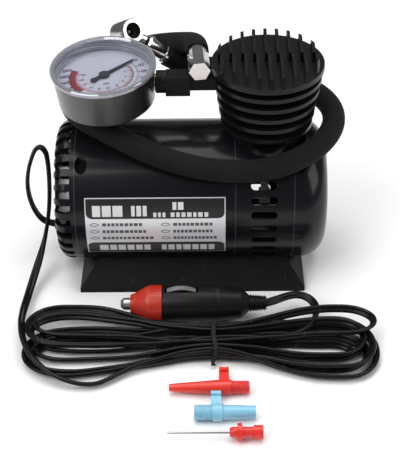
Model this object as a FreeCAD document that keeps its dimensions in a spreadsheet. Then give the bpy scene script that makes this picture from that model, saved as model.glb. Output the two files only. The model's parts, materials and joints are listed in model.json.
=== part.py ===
import FreeCAD, Part
import math
import os
import re

import Sketcher

# A 12 volt tyre inflator.  +X runs along the barrel towards the finned head, -Y is the
# label side, +Z is up, and the origin is the centre of the foot's underside.

sizes = {
    "body_radius": 38.5, "body_length": 146, "axis_height": 42, "wall": 2.2,
    "left_round": 7, "right_round": 14,
    "foot_length": 123.4, "foot_depth": 80, "foot_lip": 2.7,
    "foot_top": 14.7, "foot_top_length": 102.4, "foot_top_depth": 54.4, "foot_wall": 2.6,
    "head_x": 40.4, "head_top": 121.3, "head_radius": 29.3, "core_radius": 19.5, "core_bore": 13.6,
    "disc_step": 6.6, "disc_taper": 0.98, "disc_thick": 2.2, "rim_thick": 3,
    "fin_pitch": 6.1, "fin_thick": 1.7, "fin_height": 5, "fin_shift": 0.6,
    "vent_start": 31.6, "vent_length": 14, "vent_height": 4.3,
    "label_start": -56.1, "label_length": 74.2, "label_top": 27.7, "label_sweep": 55.2, "label_thick": 0.2,
    "boss_x": 58, "boss_z": 73, "boss_radius": 3.8, "post_x": 50, "post_y": 14, "screw_radius": 1.5,
    "motor_z": 54, "motor_radius": 17.9, "motor_start": -40, "motor_length": 57.3, "motor_wall": 1.2,
    "shaft_radius": 1.585, "core_length": 30, "armature_radius": 12.6, "magnet_inner": 13.1,
    "plate_x": 17.3, "plate_thick": 3, "plate_radius": 36.1,
    "gear_z": 30, "gear_x": 22, "gear_width": 8, "tooth_size": 0.8, "gear_teeth": 48, "pinion_teeth": 12,
    "axle_radius": 2, "crank_throw": 6.5, "crank_pin": 2, "rod_x": 37.4, "rod_width": 6, "open_gap": 0.4,
    "bore_radius": 9.5, "sleeve_radius": 11.5, "sleeve_bottom": 64, "sleeve_top": 98, "seal_gap": 0.08,
    "valve_radius": 4, "valve_seat": 100.5, "valve_thick": 1.2, "chamber_top": 110, "head_cap_top": 115,
    "arm_z": 109.9, "arm_height": 7, "block_height": 10.4, "union_x": 4, "union_length": 19.6,
    "gauge_x": -45, "gauge_z": 120.5, "gauge_radius": 27.7, "gauge_back": 25.4, "gauge_height": 22.5,
    "gauge_lean": -2.9, "gauge_nod": 4.4, "dial_depth": 7.5, "dial_radius": 24.4,
    "needle_zero": 40.6, "needle_reach": 19.5, "lens_thick": 1.2, "lens_drop": 1.9,
    "hose_radius": 6, "cord_radius": 2.2,
    "plug_y": -62.5, "plug_z": 11, "plug_radius": 9.6, "tip_x": -37.7, "ring_x": -32.6, "shell_x": -15.9,
    "taper_x": 26, "relief_x": 30.3, "relief_end": 39.4, "tip_radius": 3.2,
    "red_x": -11.2, "red_y": -118, "blue_x": 1.4, "blue_y": -135.5, "needle_x": -11.6, "needle_y": -148.5,
}

doc = FreeCAD.newDocument("TireInflator")
sheet = doc.addObject("Spreadsheet::Sheet", "dims")
for row, (alias, value) in enumerate(sizes.items(), start=1):
    sheet.set(f"A{row}", alias)
    sheet.set(f"B{row}", str(value))
    sheet.setAlias(f"B{row}", alias)
doc.recompute()

vec = FreeCAD.Vector
turn = FreeCAD.Rotation
upright = turn()
along_x = turn(vec(0, 1, 0), 90)
along_y = turn(vec(1, 0, 0), -90)
nodes = []


# Helpers.  A size is a formula on the sheet's aliases, such as "body_radius - wall".

def formula(text):
    return re.sub(r"[a-z_]+", lambda word: "dims." + word[0] if word[0] in sizes else word[0], str(text))


def value(text):
    numbers = re.sub(r"[a-z_]+", lambda word: f"({sizes[word[0]]})" if word[0] in sizes else word[0], str(text))
    return FreeCAD.Units.Quantity(numbers).Value


def bind(item, **formulas):
    for name, text in formulas.items():
        item.setExpression(name, formula(text))
    return item


def place(item, at=(0, 0, 0), rotation=upright):
    item.Placement = FreeCAD.Placement(vec(), rotation)
    for axis, text in zip("xyz", at):
        item.setExpression(f"Placement.Base.{axis}", formula(text))
    return item


def rod(name, radius, height, at, rotation=upright):
    return place(bind(doc.addObject("Part::Cylinder", name), Radius=radius, Height=height), at, rotation)


def block(name, length, width, height, at, rotation=upright):
    return place(bind(doc.addObject("Part::Box", name), Length=length, Width=width, Height=height), at, rotation)


def combined(kind, name, first, second):
    item = doc.addObject(kind, name)
    item.Base = first
    item.Tool = second
    return item


def group(name, items):
    item = doc.addObject("Part::Compound", name)
    item.Links = items
    return item


def cut(name, first, *tools):
    tool = tools[0] if len(tools) == 1 else group(name + "_tools", list(tools))
    return combined("Part::Cut", name, first, tool)


def fuse(name, *items):
    item = doc.addObject("Part::MultiFuse", name)
    item.Shapes = list(items)
    return item


def common(name, first, second):
    return combined("Part::Common", name, first, second)


def tube(name, outer, inner, height, at, rotation=upright):
    return cut(name, rod(name + "_outer", outer, height, at, rotation), rod(name + "_bore", inner, height, at, rotation))


def solid(name, shape, placement=None):
    item = doc.addObject("Part::Feature", name)
    item.Shape = shape
    if placement:
        item.Placement = placement
    return item


def keep(item):
    nodes.append(item)
    return item


def plane(body, role):
    return [item for item in body.Origin.OriginFeatures if item.Role == role][0]


def sketch_on(body, name, role="XY_Plane", lift=0):
    sketch = body.newObject("Sketcher::SketchObject", name)
    sketch.AttachmentSupport = [(plane(body, role), "")]
    sketch.MapMode = "FlatFace"
    sketch.setExpression("AttachmentOffset.Base.z", formula(lift))
    return sketch


def outline(sketch, corners):
    """A closed polygon whose corners are pairs of formulas."""
    points = [vec(value(across), value(up), 0) for across, up in corners]
    for here, there in zip(points, points[1:] + points[:1]):
        sketch.addGeometry(Part.LineSegment(here, there))
    for index in range(len(points)):
        sketch.addConstraint(Sketcher.Constraint("Coincident", index, 2, (index + 1) % len(points), 1))
    for index, corner in enumerate(corners):
        for kind, axis, text, place_now in (("DistanceX", -2, corner[0], points[index].x),
                                            ("DistanceY", -1, corner[1], points[index].y)):
            if text == 0:
                sketch.addConstraint(Sketcher.Constraint("PointOnObject", index, 1, axis))
            else:
                pin = sketch.addConstraint(Sketcher.Constraint(kind, -1, 1, index, 1, place_now))
                sketch.setExpression(f"Constraints[{pin}]", formula(text))


def circle_on(sketch, radius):
    sketch.addGeometry(Part.Circle(vec(), vec(0, 0, 1), value(radius)))
    sketch.addConstraint(Sketcher.Constraint("Coincident", 0, 3, -1, 1))
    pin = sketch.addConstraint(Sketcher.Constraint("Radius", 0, value(radius)))
    sketch.setExpression(f"Constraints[{pin}]", formula(radius))


def pad(body, sketch, name, length):
    item = body.newObject("PartDesign::Pad", name)
    item.Profile = sketch
    return bind(item, Length=length)


def lathe(name, profile, at=(0, 0, 0), rotation=upright):
    """A turned piece: the corners of its half section are (radius, height) formulas."""
    body = doc.addObject("PartDesign::Body", name)
    sketch = sketch_on(body, name + "_section", "XZ_Plane")
    outline(sketch, profile)
    turned = body.newObject("PartDesign::Revolution", name + "_turned")
    turned.Profile = sketch
    turned.ReferenceAxis = (sketch, ["V_Axis"])
    turned.Angle = 360
    return place(body, at, rotation)


def prism(name, corners, height, at=(0, 0, 0), rotation=upright):
    body = doc.addObject("PartDesign::Body", name)
    sketch = sketch_on(body, name + "_outline")
    outline(sketch, corners)
    pad(body, sketch, name + "_pad", height)
    return place(body, at, rotation)


def bolt(name, head, head_height, shank, length, at, rotation):
    """A pan head screw: its head is at the start and its shank runs along +Z."""
    return lathe(name, [(0, 0), (head, 0), (head, head_height), (shank, head_height),
                        (shank, length), (0, length)], at, rotation)


def barrel(name, inset):
    """The barrel's solid, rounded more at the head end; inset gives its hollow."""
    body = doc.addObject("PartDesign::Body", name)
    sketch = sketch_on(body, name + "_circle")
    circle_on(sketch, f"body_radius - {inset}")
    drum = pad(body, sketch, name + "_drum", f"body_length - 2 * {inset}")
    doc.recompute()
    for side, amount in (("left", f"left_round - {inset} / 2"), ("right", f"right_round - {inset}")):
        last = body.Tip
        length = value(f"body_length - 2 * {inset}")
        height = 0 if side == "left" else length
        rims = [f"Edge{number}" for number, edge in enumerate(last.Shape.Edges, start=1)
                if abs(edge.CenterOfMass.z - height) < 0.01 and edge.Closed and len(edge.Vertexes) == 1]
        rounding = body.newObject("PartDesign::Fillet", f"{name}_{side}")
        rounding.Base = (last, rims)
        bind(rounding, Radius=amount)
        doc.recompute()
    return place(body, (f"-body_length / 2 + {inset}", 0, "axis_height"), along_x)


def hipped(name, inset, bottom):
    """The foot's block: an upright lip, then sides that slope in to the barrel."""
    body = doc.addObject("PartDesign::Body", name)
    rings = []
    for step, (length, depth, lift) in enumerate((("foot_length", "foot_depth", bottom),
                                                  ("foot_length", "foot_depth", "foot_lip"),
                                                  ("foot_top_length", "foot_top_depth", "foot_top"))):
        sketch = sketch_on(body, f"{name}_ring{step}", lift=lift)
        across, back = f"{length} / 2 - {inset}", f"{depth} / 2 - {inset}"
        outline(sketch, [(f"-({across})", f"-({back})"), (across, f"-({back})"), (across, back), (f"-({across})", back)])
        rings.append(sketch)
    loft = body.newObject("PartDesign::AdditiveLoft", name + "_loft")
    loft.Profile = rings[0]
    loft.Sections = rings[1:]
    loft.Ruled = True
    return place(body)


def radial(angle):
    """A turn about the barrel's axis that points local +Z out at this angle above the label side."""
    return turn(vec(1, 0, 0), 90 - angle)


def stadium(length, height, depth):
    """A slot cutter along X with round ends, cutting along +Z."""
    half = (length - height) / 2
    flat = Part.makeBox(2 * half, height, depth, vec(-half, -height / 2, 0))
    return flat.multiFuse([Part.makeCylinder(height / 2, depth, vec(side * half, 0, 0)) for side in (-1, 1)])


# The two case halves: a barrel with a finned head, split along the middle

def head_form():
    items = [rod("head_core", "core_radius", "head_top - axis_height - 1", ("head_x", 0, "axis_height"))]
    for step in range(6):
        thick = "rim_thick" if step == 0 else "disc_thick"
        items.append(rod(f"cooling_disc_{step}", f"head_radius - disc_taper * {step}", thick,
                         ("head_x", 0, f"head_top - disc_step * {step} - {thick}")))
    round_off = lathe("fin_round", [(0, "head_top - 2"), ("head_radius - 0.9", "head_top - 2"),
                                    ("head_radius - 0.9", "head_top + 0.5"),
                                    ("head_radius - 2.6", "head_top + fin_height"),
                                    (0, "head_top + fin_height")], ("head_x", 0, 0))
    for half, side, start in (("front", -1, "-head_radius"), ("back", 1, 0)):
        fins = [block(f"{half}_fin_{number}", "fin_thick", "head_radius", "fin_height + 1",
                      (f"head_x + fin_pitch * {number} - fin_thick / 2 - {side} * fin_shift", start, "head_top - 1"))
                for number in range(-4, 5)]
        items.append(common(f"{half}_fins", group(f"{half}_fin_row", fins), round_off))
    return fuse("head_form", *items)


def vents():
    """Slots round the head end of the barrel, and slots over the rounded far end."""
    cutters = []
    reach, near = value("body_radius + 2"), value("body_radius - 6")
    slot = stadium(value("vent_length"), value("vent_height"), reach - near)
    centre = value("vent_start + vent_length / 2")
    for step in range(-4, 5):
        for angle in (12 * step, 180 - 12 * step):
            spot = vec(centre, 0, value("axis_height")) + radial(angle).multVec(vec(0, 0, near))
            piece = slot.copy()
            piece.Placement = FreeCAD.Placement(spot, radial(angle))
            cutters.append(piece)
    height = value("vent_height")
    end = Part.makeBox(12, height, 15, vec(-value("body_length") / 2 - 3, -height / 2, 27))
    for step in range(30):
        angle = 6 + 12 * step
        if abs(angle - 270) > 20:
            piece = end.copy()
            piece.Placement = FreeCAD.Placement(vec(0, 0, value("axis_height")), radial(angle))
            cutters.append(piece)
    return solid("vent_cutters", Part.makeCompound(cutters))


def case_halves():
    outer = barrel("barrel_outer", 0)
    bosses = [rod(f"boss_{side}", "boss_radius", "body_radius * 2", (f"{side} * boss_x", "-body_radius", "boss_z"), along_y)
              for side in (-1, 1)]
    bosses += [rod(f"foot_boss_{side}_{row}", "boss_radius", 12, (f"{side} * post_x", f"{row} * post_y", 3))
               for side in (-1, 1) for row in (-1, 1)]
    hollow = cut("case_hollow", barrel("barrel_inner", "wall"), *bosses)
    neck = rod("neck_bore", "core_bore", "head_cap_top - axis_height + 0.3", ("head_x", 0, "axis_height"))
    channel = block("arm_channel", 22, "arm_height + 1", "arm_height + 1",
                    ("head_x - core_radius - 15", "-arm_height / 2 - 0.5", "arm_z - arm_height / 2 - 0.5"))
    port = rod("arm_port", 3.4, 10, ("head_x - core_radius - 1", 0, "arm_z"), along_x)
    cord_hole = rod("cord_hole", 3.4, 12, ("-body_length / 2 - 4", 5, 14), along_x)
    drills = [vents(), neck, channel, port, cord_hole]
    for side in (-1, 1):
        drills += [rod(f"recess_{side}", 3.2, 32, (f"{side} * boss_x", -45, "boss_z"), along_y),
                   rod(f"shank_hole_{side}", "screw_radius", 34, (f"{side} * boss_x", -20, "boss_z"), along_y)]
        drills += [rod(f"foot_hole_{side}_{row}", "screw_radius", 14, (f"{side} * post_x", f"{row} * post_y", 0))
                   for row in (-1, 1)]
    case = cut("case_blank", fuse("case_form", outer, head_form()), hollow, *drills)
    box = ("body_length + 10", "body_radius + 10", "head_top + 20")
    keep(common("front_shell", case, block("front_space", *box, ("-body_length / 2 - 5", "-body_radius - 10", -5))))
    keep(common("back_shell", case, block("back_space", *box, ("-body_length / 2 - 5", 0, -5))))


def case_screws():
    screws = [bolt(f"case_screw_{side}", 2.8, 1.8, "screw_radius", 24, (f"{side} * boss_x", -15, "boss_z"), along_y)
              for side in (-1, 1)]
    keep(group("case_screws", screws))
    screws = [bolt(f"foot_screw_{side}_{row}", 2.8, 1.6, "screw_radius", 12,
                   (f"{side} * post_x", f"{row} * post_y", 0.6), upright) for side in (-1, 1) for row in (-1, 1)]
    keep(group("foot_screws", screws))


def foot():
    cradle = rod("foot_cradle", "body_radius", "body_length", ("-body_length / 2", 0, "axis_height"), along_x)
    posts = [rod(f"foot_post_{side}_{row}", 4.6, 12, (f"{side} * post_x", f"{row} * post_y", 1))
             for side in (-1, 1) for row in (-1, 1)]
    room = cut("foot_room", hipped("foot_inner", "foot_wall", "foot_wall"), *posts)
    holes = []
    for side in (-1, 1):
        for row in (-1, 1):
            spot = (f"{side} * post_x", f"{row} * post_y")
            holes += [rod(f"foot_sink_{side}_{row}", 3.2, 2.2, (*spot, 0)),
                      rod(f"foot_way_{side}_{row}", "screw_radius", 12, (*spot, 0))]
    keep(cut("foot", hipped("foot_block", 0, 0), room, cradle, *holes))


def rating_label():
    rotation = turn(vec(1, 0, 0), -90 - value("label_top")).multiply(along_x)
    rings = []
    for name, radius in (("label_face", "body_radius + label_thick"), ("label_back", "body_radius")):
        ring = rod(name, radius, "label_length", ("label_start", 0, "axis_height"), rotation)
        rings.append(bind(ring, Angle="label_sweep"))
    keep(cut("rating_label", *rings))


# The motor: a can with two magnets round an armature on the shaft

def motor():
    spot = ("motor_start", 0, "motor_z")
    keep(lathe("motor_can", [("motor_radius - motor_wall", 0), ("motor_radius", 0), ("motor_radius", "motor_length"),
                             (3.2, "motor_length"), (3.2, "motor_length - motor_wall"),
                             ("motor_radius - motor_wall", "motor_length - motor_wall")], spot, along_x))
    magnets = []
    for name, lean in (("front_magnet", 25), ("back_magnet", 205)):
        rotation = turn(vec(1, 0, 0), lean).multiply(along_x)
        arcs = [bind(rod(f"{name}_{end}", radius, 38, ("motor_start + 12", 0, "motor_z"), rotation), Angle=130)
                for end, radius in (("outer", "motor_radius - motor_wall"), ("inner", "magnet_inner"))]
        magnets.append(cut(name, *arcs))
    keep(group("motor_magnets", magnets))
    keep(lathe("motor_end_cap", [(3.2, 0), ("motor_radius", 0), ("motor_radius", 3),
                                 ("motor_radius - motor_wall", 3), ("motor_radius - motor_wall", 6),
                                 (6, 6), (6, 3), (3.2, 3)], ("motor_start - 3", 0, "motor_z"), along_x))
    keep(group("motor_bushes", [
        tube("left_bush", 3.2, "shaft_radius + 0.05", 3, ("motor_start - 3", 0, "motor_z"), along_x),
        tube("right_bush", 3.2, "shaft_radius + 0.05", "motor_wall + plate_thick",
             ("motor_start + motor_length - motor_wall", 0, "motor_z"), along_x)]))
    keep(group("motor_brushes", [block("front_brush", 3.6, 5, 3, ("motor_start + 5", -10.2, "motor_z - 1.5")),
                                 block("back_brush", 3.6, 5, 3, ("motor_start + 5", 5.2, "motor_z - 1.5"))]))
    keep(rod("motor_shaft", "shaft_radius", "motor_length + 16", ("motor_start - 4", 0, "motor_z"), along_x))
    start = "motor_start + 16"
    slots = [block(f"armature_slot_{step}", "core_length", 5, 1.6, (start, 9, "motor_z - 0.8")) for step in range(5)]
    for step, item in enumerate(slots):
        lean = turn(vec(1, 0, 0), 72 * step)
        item.Placement = FreeCAD.Placement(vec(), lean)
        shift = lean.multVec(vec(0, 9, -0.8))
        for axis, text in zip("xyz", (start, shift.y, f"motor_z + {shift.z}")):
            item.setExpression(f"Placement.Base.{axis}", formula(text))
    core = tube("armature_blank", "armature_radius", "shaft_radius", "core_length", (start, 0, "motor_z"), along_x)
    keep(cut("armature_core", core, *slots))
    keep(group("windings", [
        tube("left_winding", 10.4, 3.6, 4.6, ("motor_start + 11.2", 0, "motor_z"), along_x),
        tube("right_winding", 10.4, 3.6, 4.6, (start + " + core_length + 0.2", 0, "motor_z"), along_x)]))
    keep(tube("commutator", 4.8, "shaft_radius", 5, ("motor_start + 4.4", 0, "motor_z"), along_x))


# The gearbox frame, gears, piston and cylinder

def toothed(name, teeth, width, at, lean, bore):
    """A spur gear round local +Z with one tooth on local +X."""
    body = doc.addObject("PartDesign::Body", name + "_teeth")
    root = f"tooth_size * ({teeth} / 2 - 1.2)"
    tip = f"tooth_size * ({teeth} / 2 + 0.94)"
    disc = sketch_on(body, name + "_disc")
    circle_on(disc, root)
    pad(body, disc, name + "_plate", width)
    tooth = sketch_on(body, name + "_tooth")
    outline(tooth, [(f"{root} - 0.4", "-0.95 * tooth_size"), (tip, "-0.3 * tooth_size"),
                    (tip, "0.3 * tooth_size"), (f"{root} - 0.4", "0.95 * tooth_size")])
    single = pad(body, tooth, name + "_one", width)
    doc.recompute()
    ring = body.newObject("PartDesign::PolarPattern", name + "_ring")
    ring.Originals = [single]
    ring.Axis = (disc, ["N_Axis"])
    ring.Angle = 360
    ring.setExpression("Occurrences", formula(teeth))
    body.Tip = ring
    place(body, at, turn(vec(1, 0, 0), lean).multiply(along_x))
    return cut(name, body, rod(name + "_bore", bore, f"{width} + 2", (f"{at[0]} - 1", at[1], at[2]), along_x))


def gear_train():
    wheel = toothed("wheel", "gear_teeth", "gear_width - 4", ("gear_x + 2", 0, "gear_z"), 3.75, "axle_radius + 0.05")
    hub = tube("wheel_hub", 5, "axle_radius + 0.05", "gear_width", ("gear_x + 0.3", 0, "gear_z"), along_x)
    pin = rod("crank_pin", "crank_pin", "rod_x - gear_x - 4 - open_gap",
              ("gear_x + 4", 0, "gear_z + crank_throw"), along_x)
    weight = block("crank_weight", 2.2, 14, 7, ("gear_x + gear_width - 2.2", -7, "gear_z - 14"))
    keep(fuse("drive_gear", wheel, hub, pin, weight))
    keep(toothed("pinion", "pinion_teeth", "gear_width", ("gear_x", 0, "motor_z"), 0, "shaft_radius"))
    keep(rod("gear_axle", "axle_radius", "gear_width + plate_thick + 1.7", ("plate_x - 1", 0, "gear_z"), along_x))


def gearbox_frame():
    disc = rod("frame_disc", "plate_radius", "plate_thick", ("plate_x", 0, "axis_height"), along_x)
    shelf = block("frame_shelf", "head_x - plate_x + 13", 26, 3, ("plate_x", -13, "sleeve_bottom"))
    holes = [rod("bush_hole", 3.2, 10, ("plate_x - 3", 0, "motor_z"), along_x),
             rod("axle_hole", "axle_radius", 10, ("plate_x - 3", 0, "gear_z"), along_x),
             rod("sleeve_hole", "sleeve_radius", 10, ("head_x", 0, "sleeve_bottom - 3"))]
    holes += [rod(f"motor_screw_hole_{side}", "screw_radius", 10, ("plate_x - 3", f"{side} * 11", "motor_z"), along_x)
              for side in (-1, 1)]
    holes += [block(f"frame_flat_{side}", "plate_thick + 2", 20, 100, ("plate_x - 1", f"{side} * 38 - 10", 0))
              for side in (-1, 1)]
    keep(cut("gearbox_frame", fuse("frame_blank", disc, shelf), *holes))
    toward_motor = turn(vec(0, 1, 0), -90)
    keep(group("motor_screws", [bolt(f"motor_screw_{side}", 2.6, 1.5, "screw_radius", "1.5 + plate_thick",
                                     ("plate_x + plate_thick + 1.5", f"{side} * 11", "motor_z"), toward_motor)
                                for side in (-1, 1)]))


def piston():
    low, top = "gear_z + crank_throw", "sleeve_top - 2"
    eye = tube("rod_eye", 4.6, "crank_pin + 0.1", "rod_width", ("rod_x", 0, low), along_x)
    shank = block("rod_shank", "rod_width - 2", 6, f"{top} - 8 - ({low}) - 4", ("rod_x + 1", -3, f"{low} + 4"))
    crown = rod("rod_crown", "bore_radius - 0.5", 5, ("head_x", 0, f"{top} - 8.2"))
    keep(fuse("piston_rod", eye, shank, crown))
    keep(lathe("piston_seal", [(0, 0), ("bore_radius - seal_gap", 0), ("bore_radius - seal_gap", 3.2),
                               ("bore_radius - 1.2", 3.2), ("bore_radius - 1.2", 1.2), (0, 1.2)],
               ("head_x", 0, f"{top} - 3.2")))
    keep(tube("cylinder_sleeve", "sleeve_radius", "bore_radius", "sleeve_top - sleeve_bottom",
              ("head_x", 0, "sleeve_bottom")))
    keep(lathe("cylinder_head", [(1.6, "sleeve_top"), (12.6, "sleeve_top"), (12.6, "head_cap_top"), (0, "head_cap_top"),
                                 (0, "chamber_top"), (5.4, "chamber_top"), (5.4, "valve_seat"), (1.6, "valve_seat")],
               ("head_x", 0, 0)))
    keep(rod("outlet_valve", "valve_radius", "valve_thick", ("head_x", 0, "valve_seat + 0.02")))
    spring_foot, coil_gap, turns = value("valve_seat + valve_thick") + 0.05, 1.5, 5
    helix = Part.makeHelix(coil_gap, coil_gap * turns, 2.6)
    wire_end = Part.Wire(Part.Circle(vec(2.6, 0, 0), vec(0, 1, 0), 0.3).toShape())
    coil = Part.Wire(helix.Edges).makePipeShell([wire_end], True, True)
    keep(solid("valve_spring", coil, FreeCAD.Placement(vec(value("head_x"), 0, spring_foot + 0.3), upright)))


# The outlet arm, gauge, hose and chuck

gauge_turn = turn(vec(0, 1, 0), sizes["gauge_lean"]).multiply(turn(vec(1, 0, 0), sizes["gauge_nod"]))
gauge_axis = gauge_turn.multVec(vec(0, 0, 1))


def gauge_piece(item, lift=0):
    """Sets a piece drawn from the gauge's back centre, or from a height above it, into its leaning place."""
    depth = f"(gauge_height - ({lift}))"
    return place(item, (f"gauge_x + {depth} * {-gauge_axis.x}", f"{depth} * {-gauge_axis.y}",
                        f"gauge_z - {depth} * {gauge_axis.z}"), gauge_turn)


def gauge():
    back, face = "gauge_height - dial_depth", "gauge_height - 2.2"
    cup = lathe("gauge_cup", [(0, 0), ("gauge_back - 1.5", 0), ("gauge_back", 1.5), ("gauge_radius - 0.9", face),
                              ("gauge_radius - 2.6", face), ("gauge_back - 1.7", 1.8), (0, 1.8)])
    side_hole = rod("gauge_side_hole", 3.1, 14, (18, 0, "gauge_height / 2"), along_x)
    keep(gauge_piece(cut("gauge_case", cup, side_hole)))
    keep(gauge_piece(lathe("gauge_bezel", [
        ("gauge_radius - 2.9", face + " + 0.05"), ("gauge_radius", face + " + 0.05"), ("gauge_radius", "gauge_height - 0.6"),
        ("gauge_radius - 0.6", "gauge_height"), ("gauge_radius - 2", "gauge_height"),
        ("gauge_radius - 2.9", "gauge_height - 0.9")])))
    keep(gauge_piece(rod("gauge_lens", "gauge_radius - 3", "lens_thick", (0, 0, 0)), "gauge_height - lens_drop"))
    keep(gauge_piece(lathe("gauge_dial", [(1.6, back + " - 0.5"), ("dial_radius", back + " - 0.5"),
                                          ("dial_radius", back), (1.6, back)])))
    socket = block("gauge_socket_block", 10, 8, 6, (8, -4, "gauge_height / 2 - 5"))
    stub = tube("gauge_socket_stub", 3, 1.4, 9, (17.6, 0, "gauge_height / 2"), along_x)
    keep(gauge_piece(fuse("gauge_socket", socket, stub)))
    ring = Part.makeTorus(17, 2.1, vec(0, 0, 6), vec(0, 0, 1), 0, 360, 250)
    ring.rotate(vec(), vec(0, 0, 1), 30)
    keep(gauge_piece(solid("bourdon_tube", ring)))
    keep(gauge_piece(tube("needle_bearing", 3.2, 0.9, 3.6, (0, 0, back + " - 5"))))
    spindle = rod("needle_spindle", 0.84, 6.2, (0, 0, back + " - 4.6"))
    hub = rod("needle_hub_disc", 2.7, 1.2, (0, 0, back + " + 0.5"))
    blade = prism("needle_blade", [(-7.2, -0.9), (0, -1), ("needle_reach", -0.35), ("needle_reach", 0.35), (0, 1),
                                   (-7.2, 0.9)], 0.7, (0, 0, back + " + 0.7"), turn(vec(0, 0, 1), sizes["needle_zero"]))
    tail = rod("needle_tail", 1.6, 0.7, (0, 0, 0))
    tail_spot = turn(vec(0, 0, 1), sizes["needle_zero"]).multVec(vec(-7, 0, 0))
    place(tail, (tail_spot.x, tail_spot.y, back + " + 0.7"))
    keep(gauge_piece(fuse("pointer", spindle, hub, blade, tail)))


def outlet_arm():
    """The arm from the cylinder head to the gauge, with the boss that the hose nut stands on."""
    spans = [block("arm_block", 12.8, "block_height", "block_height", (-12.7, "-block_height / 2", "arm_z - 5.9")),
             block("arm_neck", 15, "arm_height", "arm_height", (0, "-arm_height / 2", "arm_z - arm_height / 2")),
             rod("arm_collar", 6, 12, (-24, 0, "arm_z"), along_x),
             rod("arm_tail", 3.3, 16, (13, 0, "arm_z"), along_x),
             rod("arm_boss", 3.3, 1.1, ("union_x", 0, "arm_z + arm_height / 2 - 0.8"))]
    gauge_room = rod("gauge_room", "gauge_radius - 0.6", 60, (0, 0, -20))
    gauge_piece(gauge_room)
    head_room = rod("head_room", 12.6, 40, ("head_x", 0, 90))
    bore = rod("arm_bore", 1.5, 60, (-25, 0, "arm_z"), along_x)
    keep(cut("outlet_arm", fuse("arm_blank", *spans), gauge_room, head_room, bore))


def aimed(start, end):
    """The placement that lays a piece drawn up +Z from one point towards another."""
    return FreeCAD.Placement(vec(*start), turn(vec(0, 0, 1), vec(*end) - vec(*start)))


def aimed_lathe(name, profile, start, end):
    laid = aimed(start, end)
    return place(lathe(name, profile), tuple(laid.Base), laid.Rotation)


def route(points, radius):
    """A tube along straight runs joined by tangent arcs."""
    stops = [vec(*point) for point in points]
    edges, radii, start = [], [], stops[0]
    for before, corner, after in zip(stops, stops[1:], stops[2:]):
        incoming, outgoing = corner - before, after - corner
        half = incoming.getAngle(outgoing) / 2
        trim = 0.45 * min(incoming.Length, outgoing.Length)
        bend = trim / math.tan(half)
        radii.append(bend)
        first = corner - incoming * (trim / incoming.Length)
        last = corner + outgoing * (trim / outgoing.Length)
        inward = (first + last) * 0.5 - corner
        middle = corner + inward * ((bend / math.cos(half) - bend) / inward.Length)
        edges += [Part.LineSegment(start, first).toShape(), Part.Arc(first, middle, last).toShape()]
        start = last
    edges.append(Part.LineSegment(start, stops[-1]).toShape())
    path = Part.Wire(edges)
    ring = Part.Wire(Part.Circle(stops[0], stops[1] - stops[0], radius).toShape())
    shape = path.makePipeShell([ring], True, False)
    print(f"route of {path.Length:.0f} mm, volume ratio {shape.Volume / (math.pi * radius ** 2 * path.Length):.4f}, "
          f"radii {[round(bend / radius / 2, 1) for bend in radii]} diameters")
    return shape


hose_route = [
    (4, 15, 119), (3.6, 21.5, 119.3), (1.2, 30, 116.2), (-5, 38, 112), (-13.5, 45, 108), (-24, 50, 103.8),
    (-35.5, 51, 99.8), (-46.5, 48, 96.5), (-56, 41, 93.8), (-63, 31, 91.4), (-66, 19.5, 89.8), (-64, 8, 88.6),
    (-56.5, -2, 87.8), (-45.5, -10.5, 86.8), (-32.5, -18.8, 84), (-17, -25.5, 80), (1, -30.5, 76.6),
    (20, -33.2, 75), (38, -32.8, 75.4), (54, -28.5, 78.2), (67, -20.5, 82), (75, -9.5, 85.5), (77, 3.5, 87.5),
    (73.5, 16.5, 88.2), (65, 27.5, 89), (53, 35, 90.5), (39.5, 38.6, 92.8), (26, 39.5, 94.6), (13.5, 38.8, 95.8),
    (2.5, 37.6, 97.6), (-6.2, 36.2, 101.2), (-13.1, 35.2, 106.2)]
ferrule_axis = vec(-0.78, -0.13, 0.615).normalize()
ferrule_length = 14
chuck_mouth = vec(-30.3, 30, 124)
mouth_axis = vec(0.54, -0.67, 0.51).normalize()
chuck_length = 16


def laid(item, start, axis):
    """Lays a piece drawn up +Z so that it starts at a point and runs along an axis."""
    return place(item, tuple(start), turn(vec(0, 0, 1), axis))


def hose():
    keep(solid("air_hose", route(hose_route, value("hose_radius"))))
    corners = [(5.6 * math.cos(math.radians(60 * step)), 5.6 * math.sin(math.radians(60 * step))) for step in range(6)]
    nut = prism("nut_hex", corners, "union_length - 3")
    collar = rod("nut_collar", 5.1, 3.2, (0, 0, "union_length - 3.2"))
    end, second = vec(*hose_route[0]), vec(*hose_route[1])
    axis = (second - end).normalize()
    laid(keep(fuse("hose_nut", nut, collar)), end - axis * value("union_length"), axis)


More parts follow.
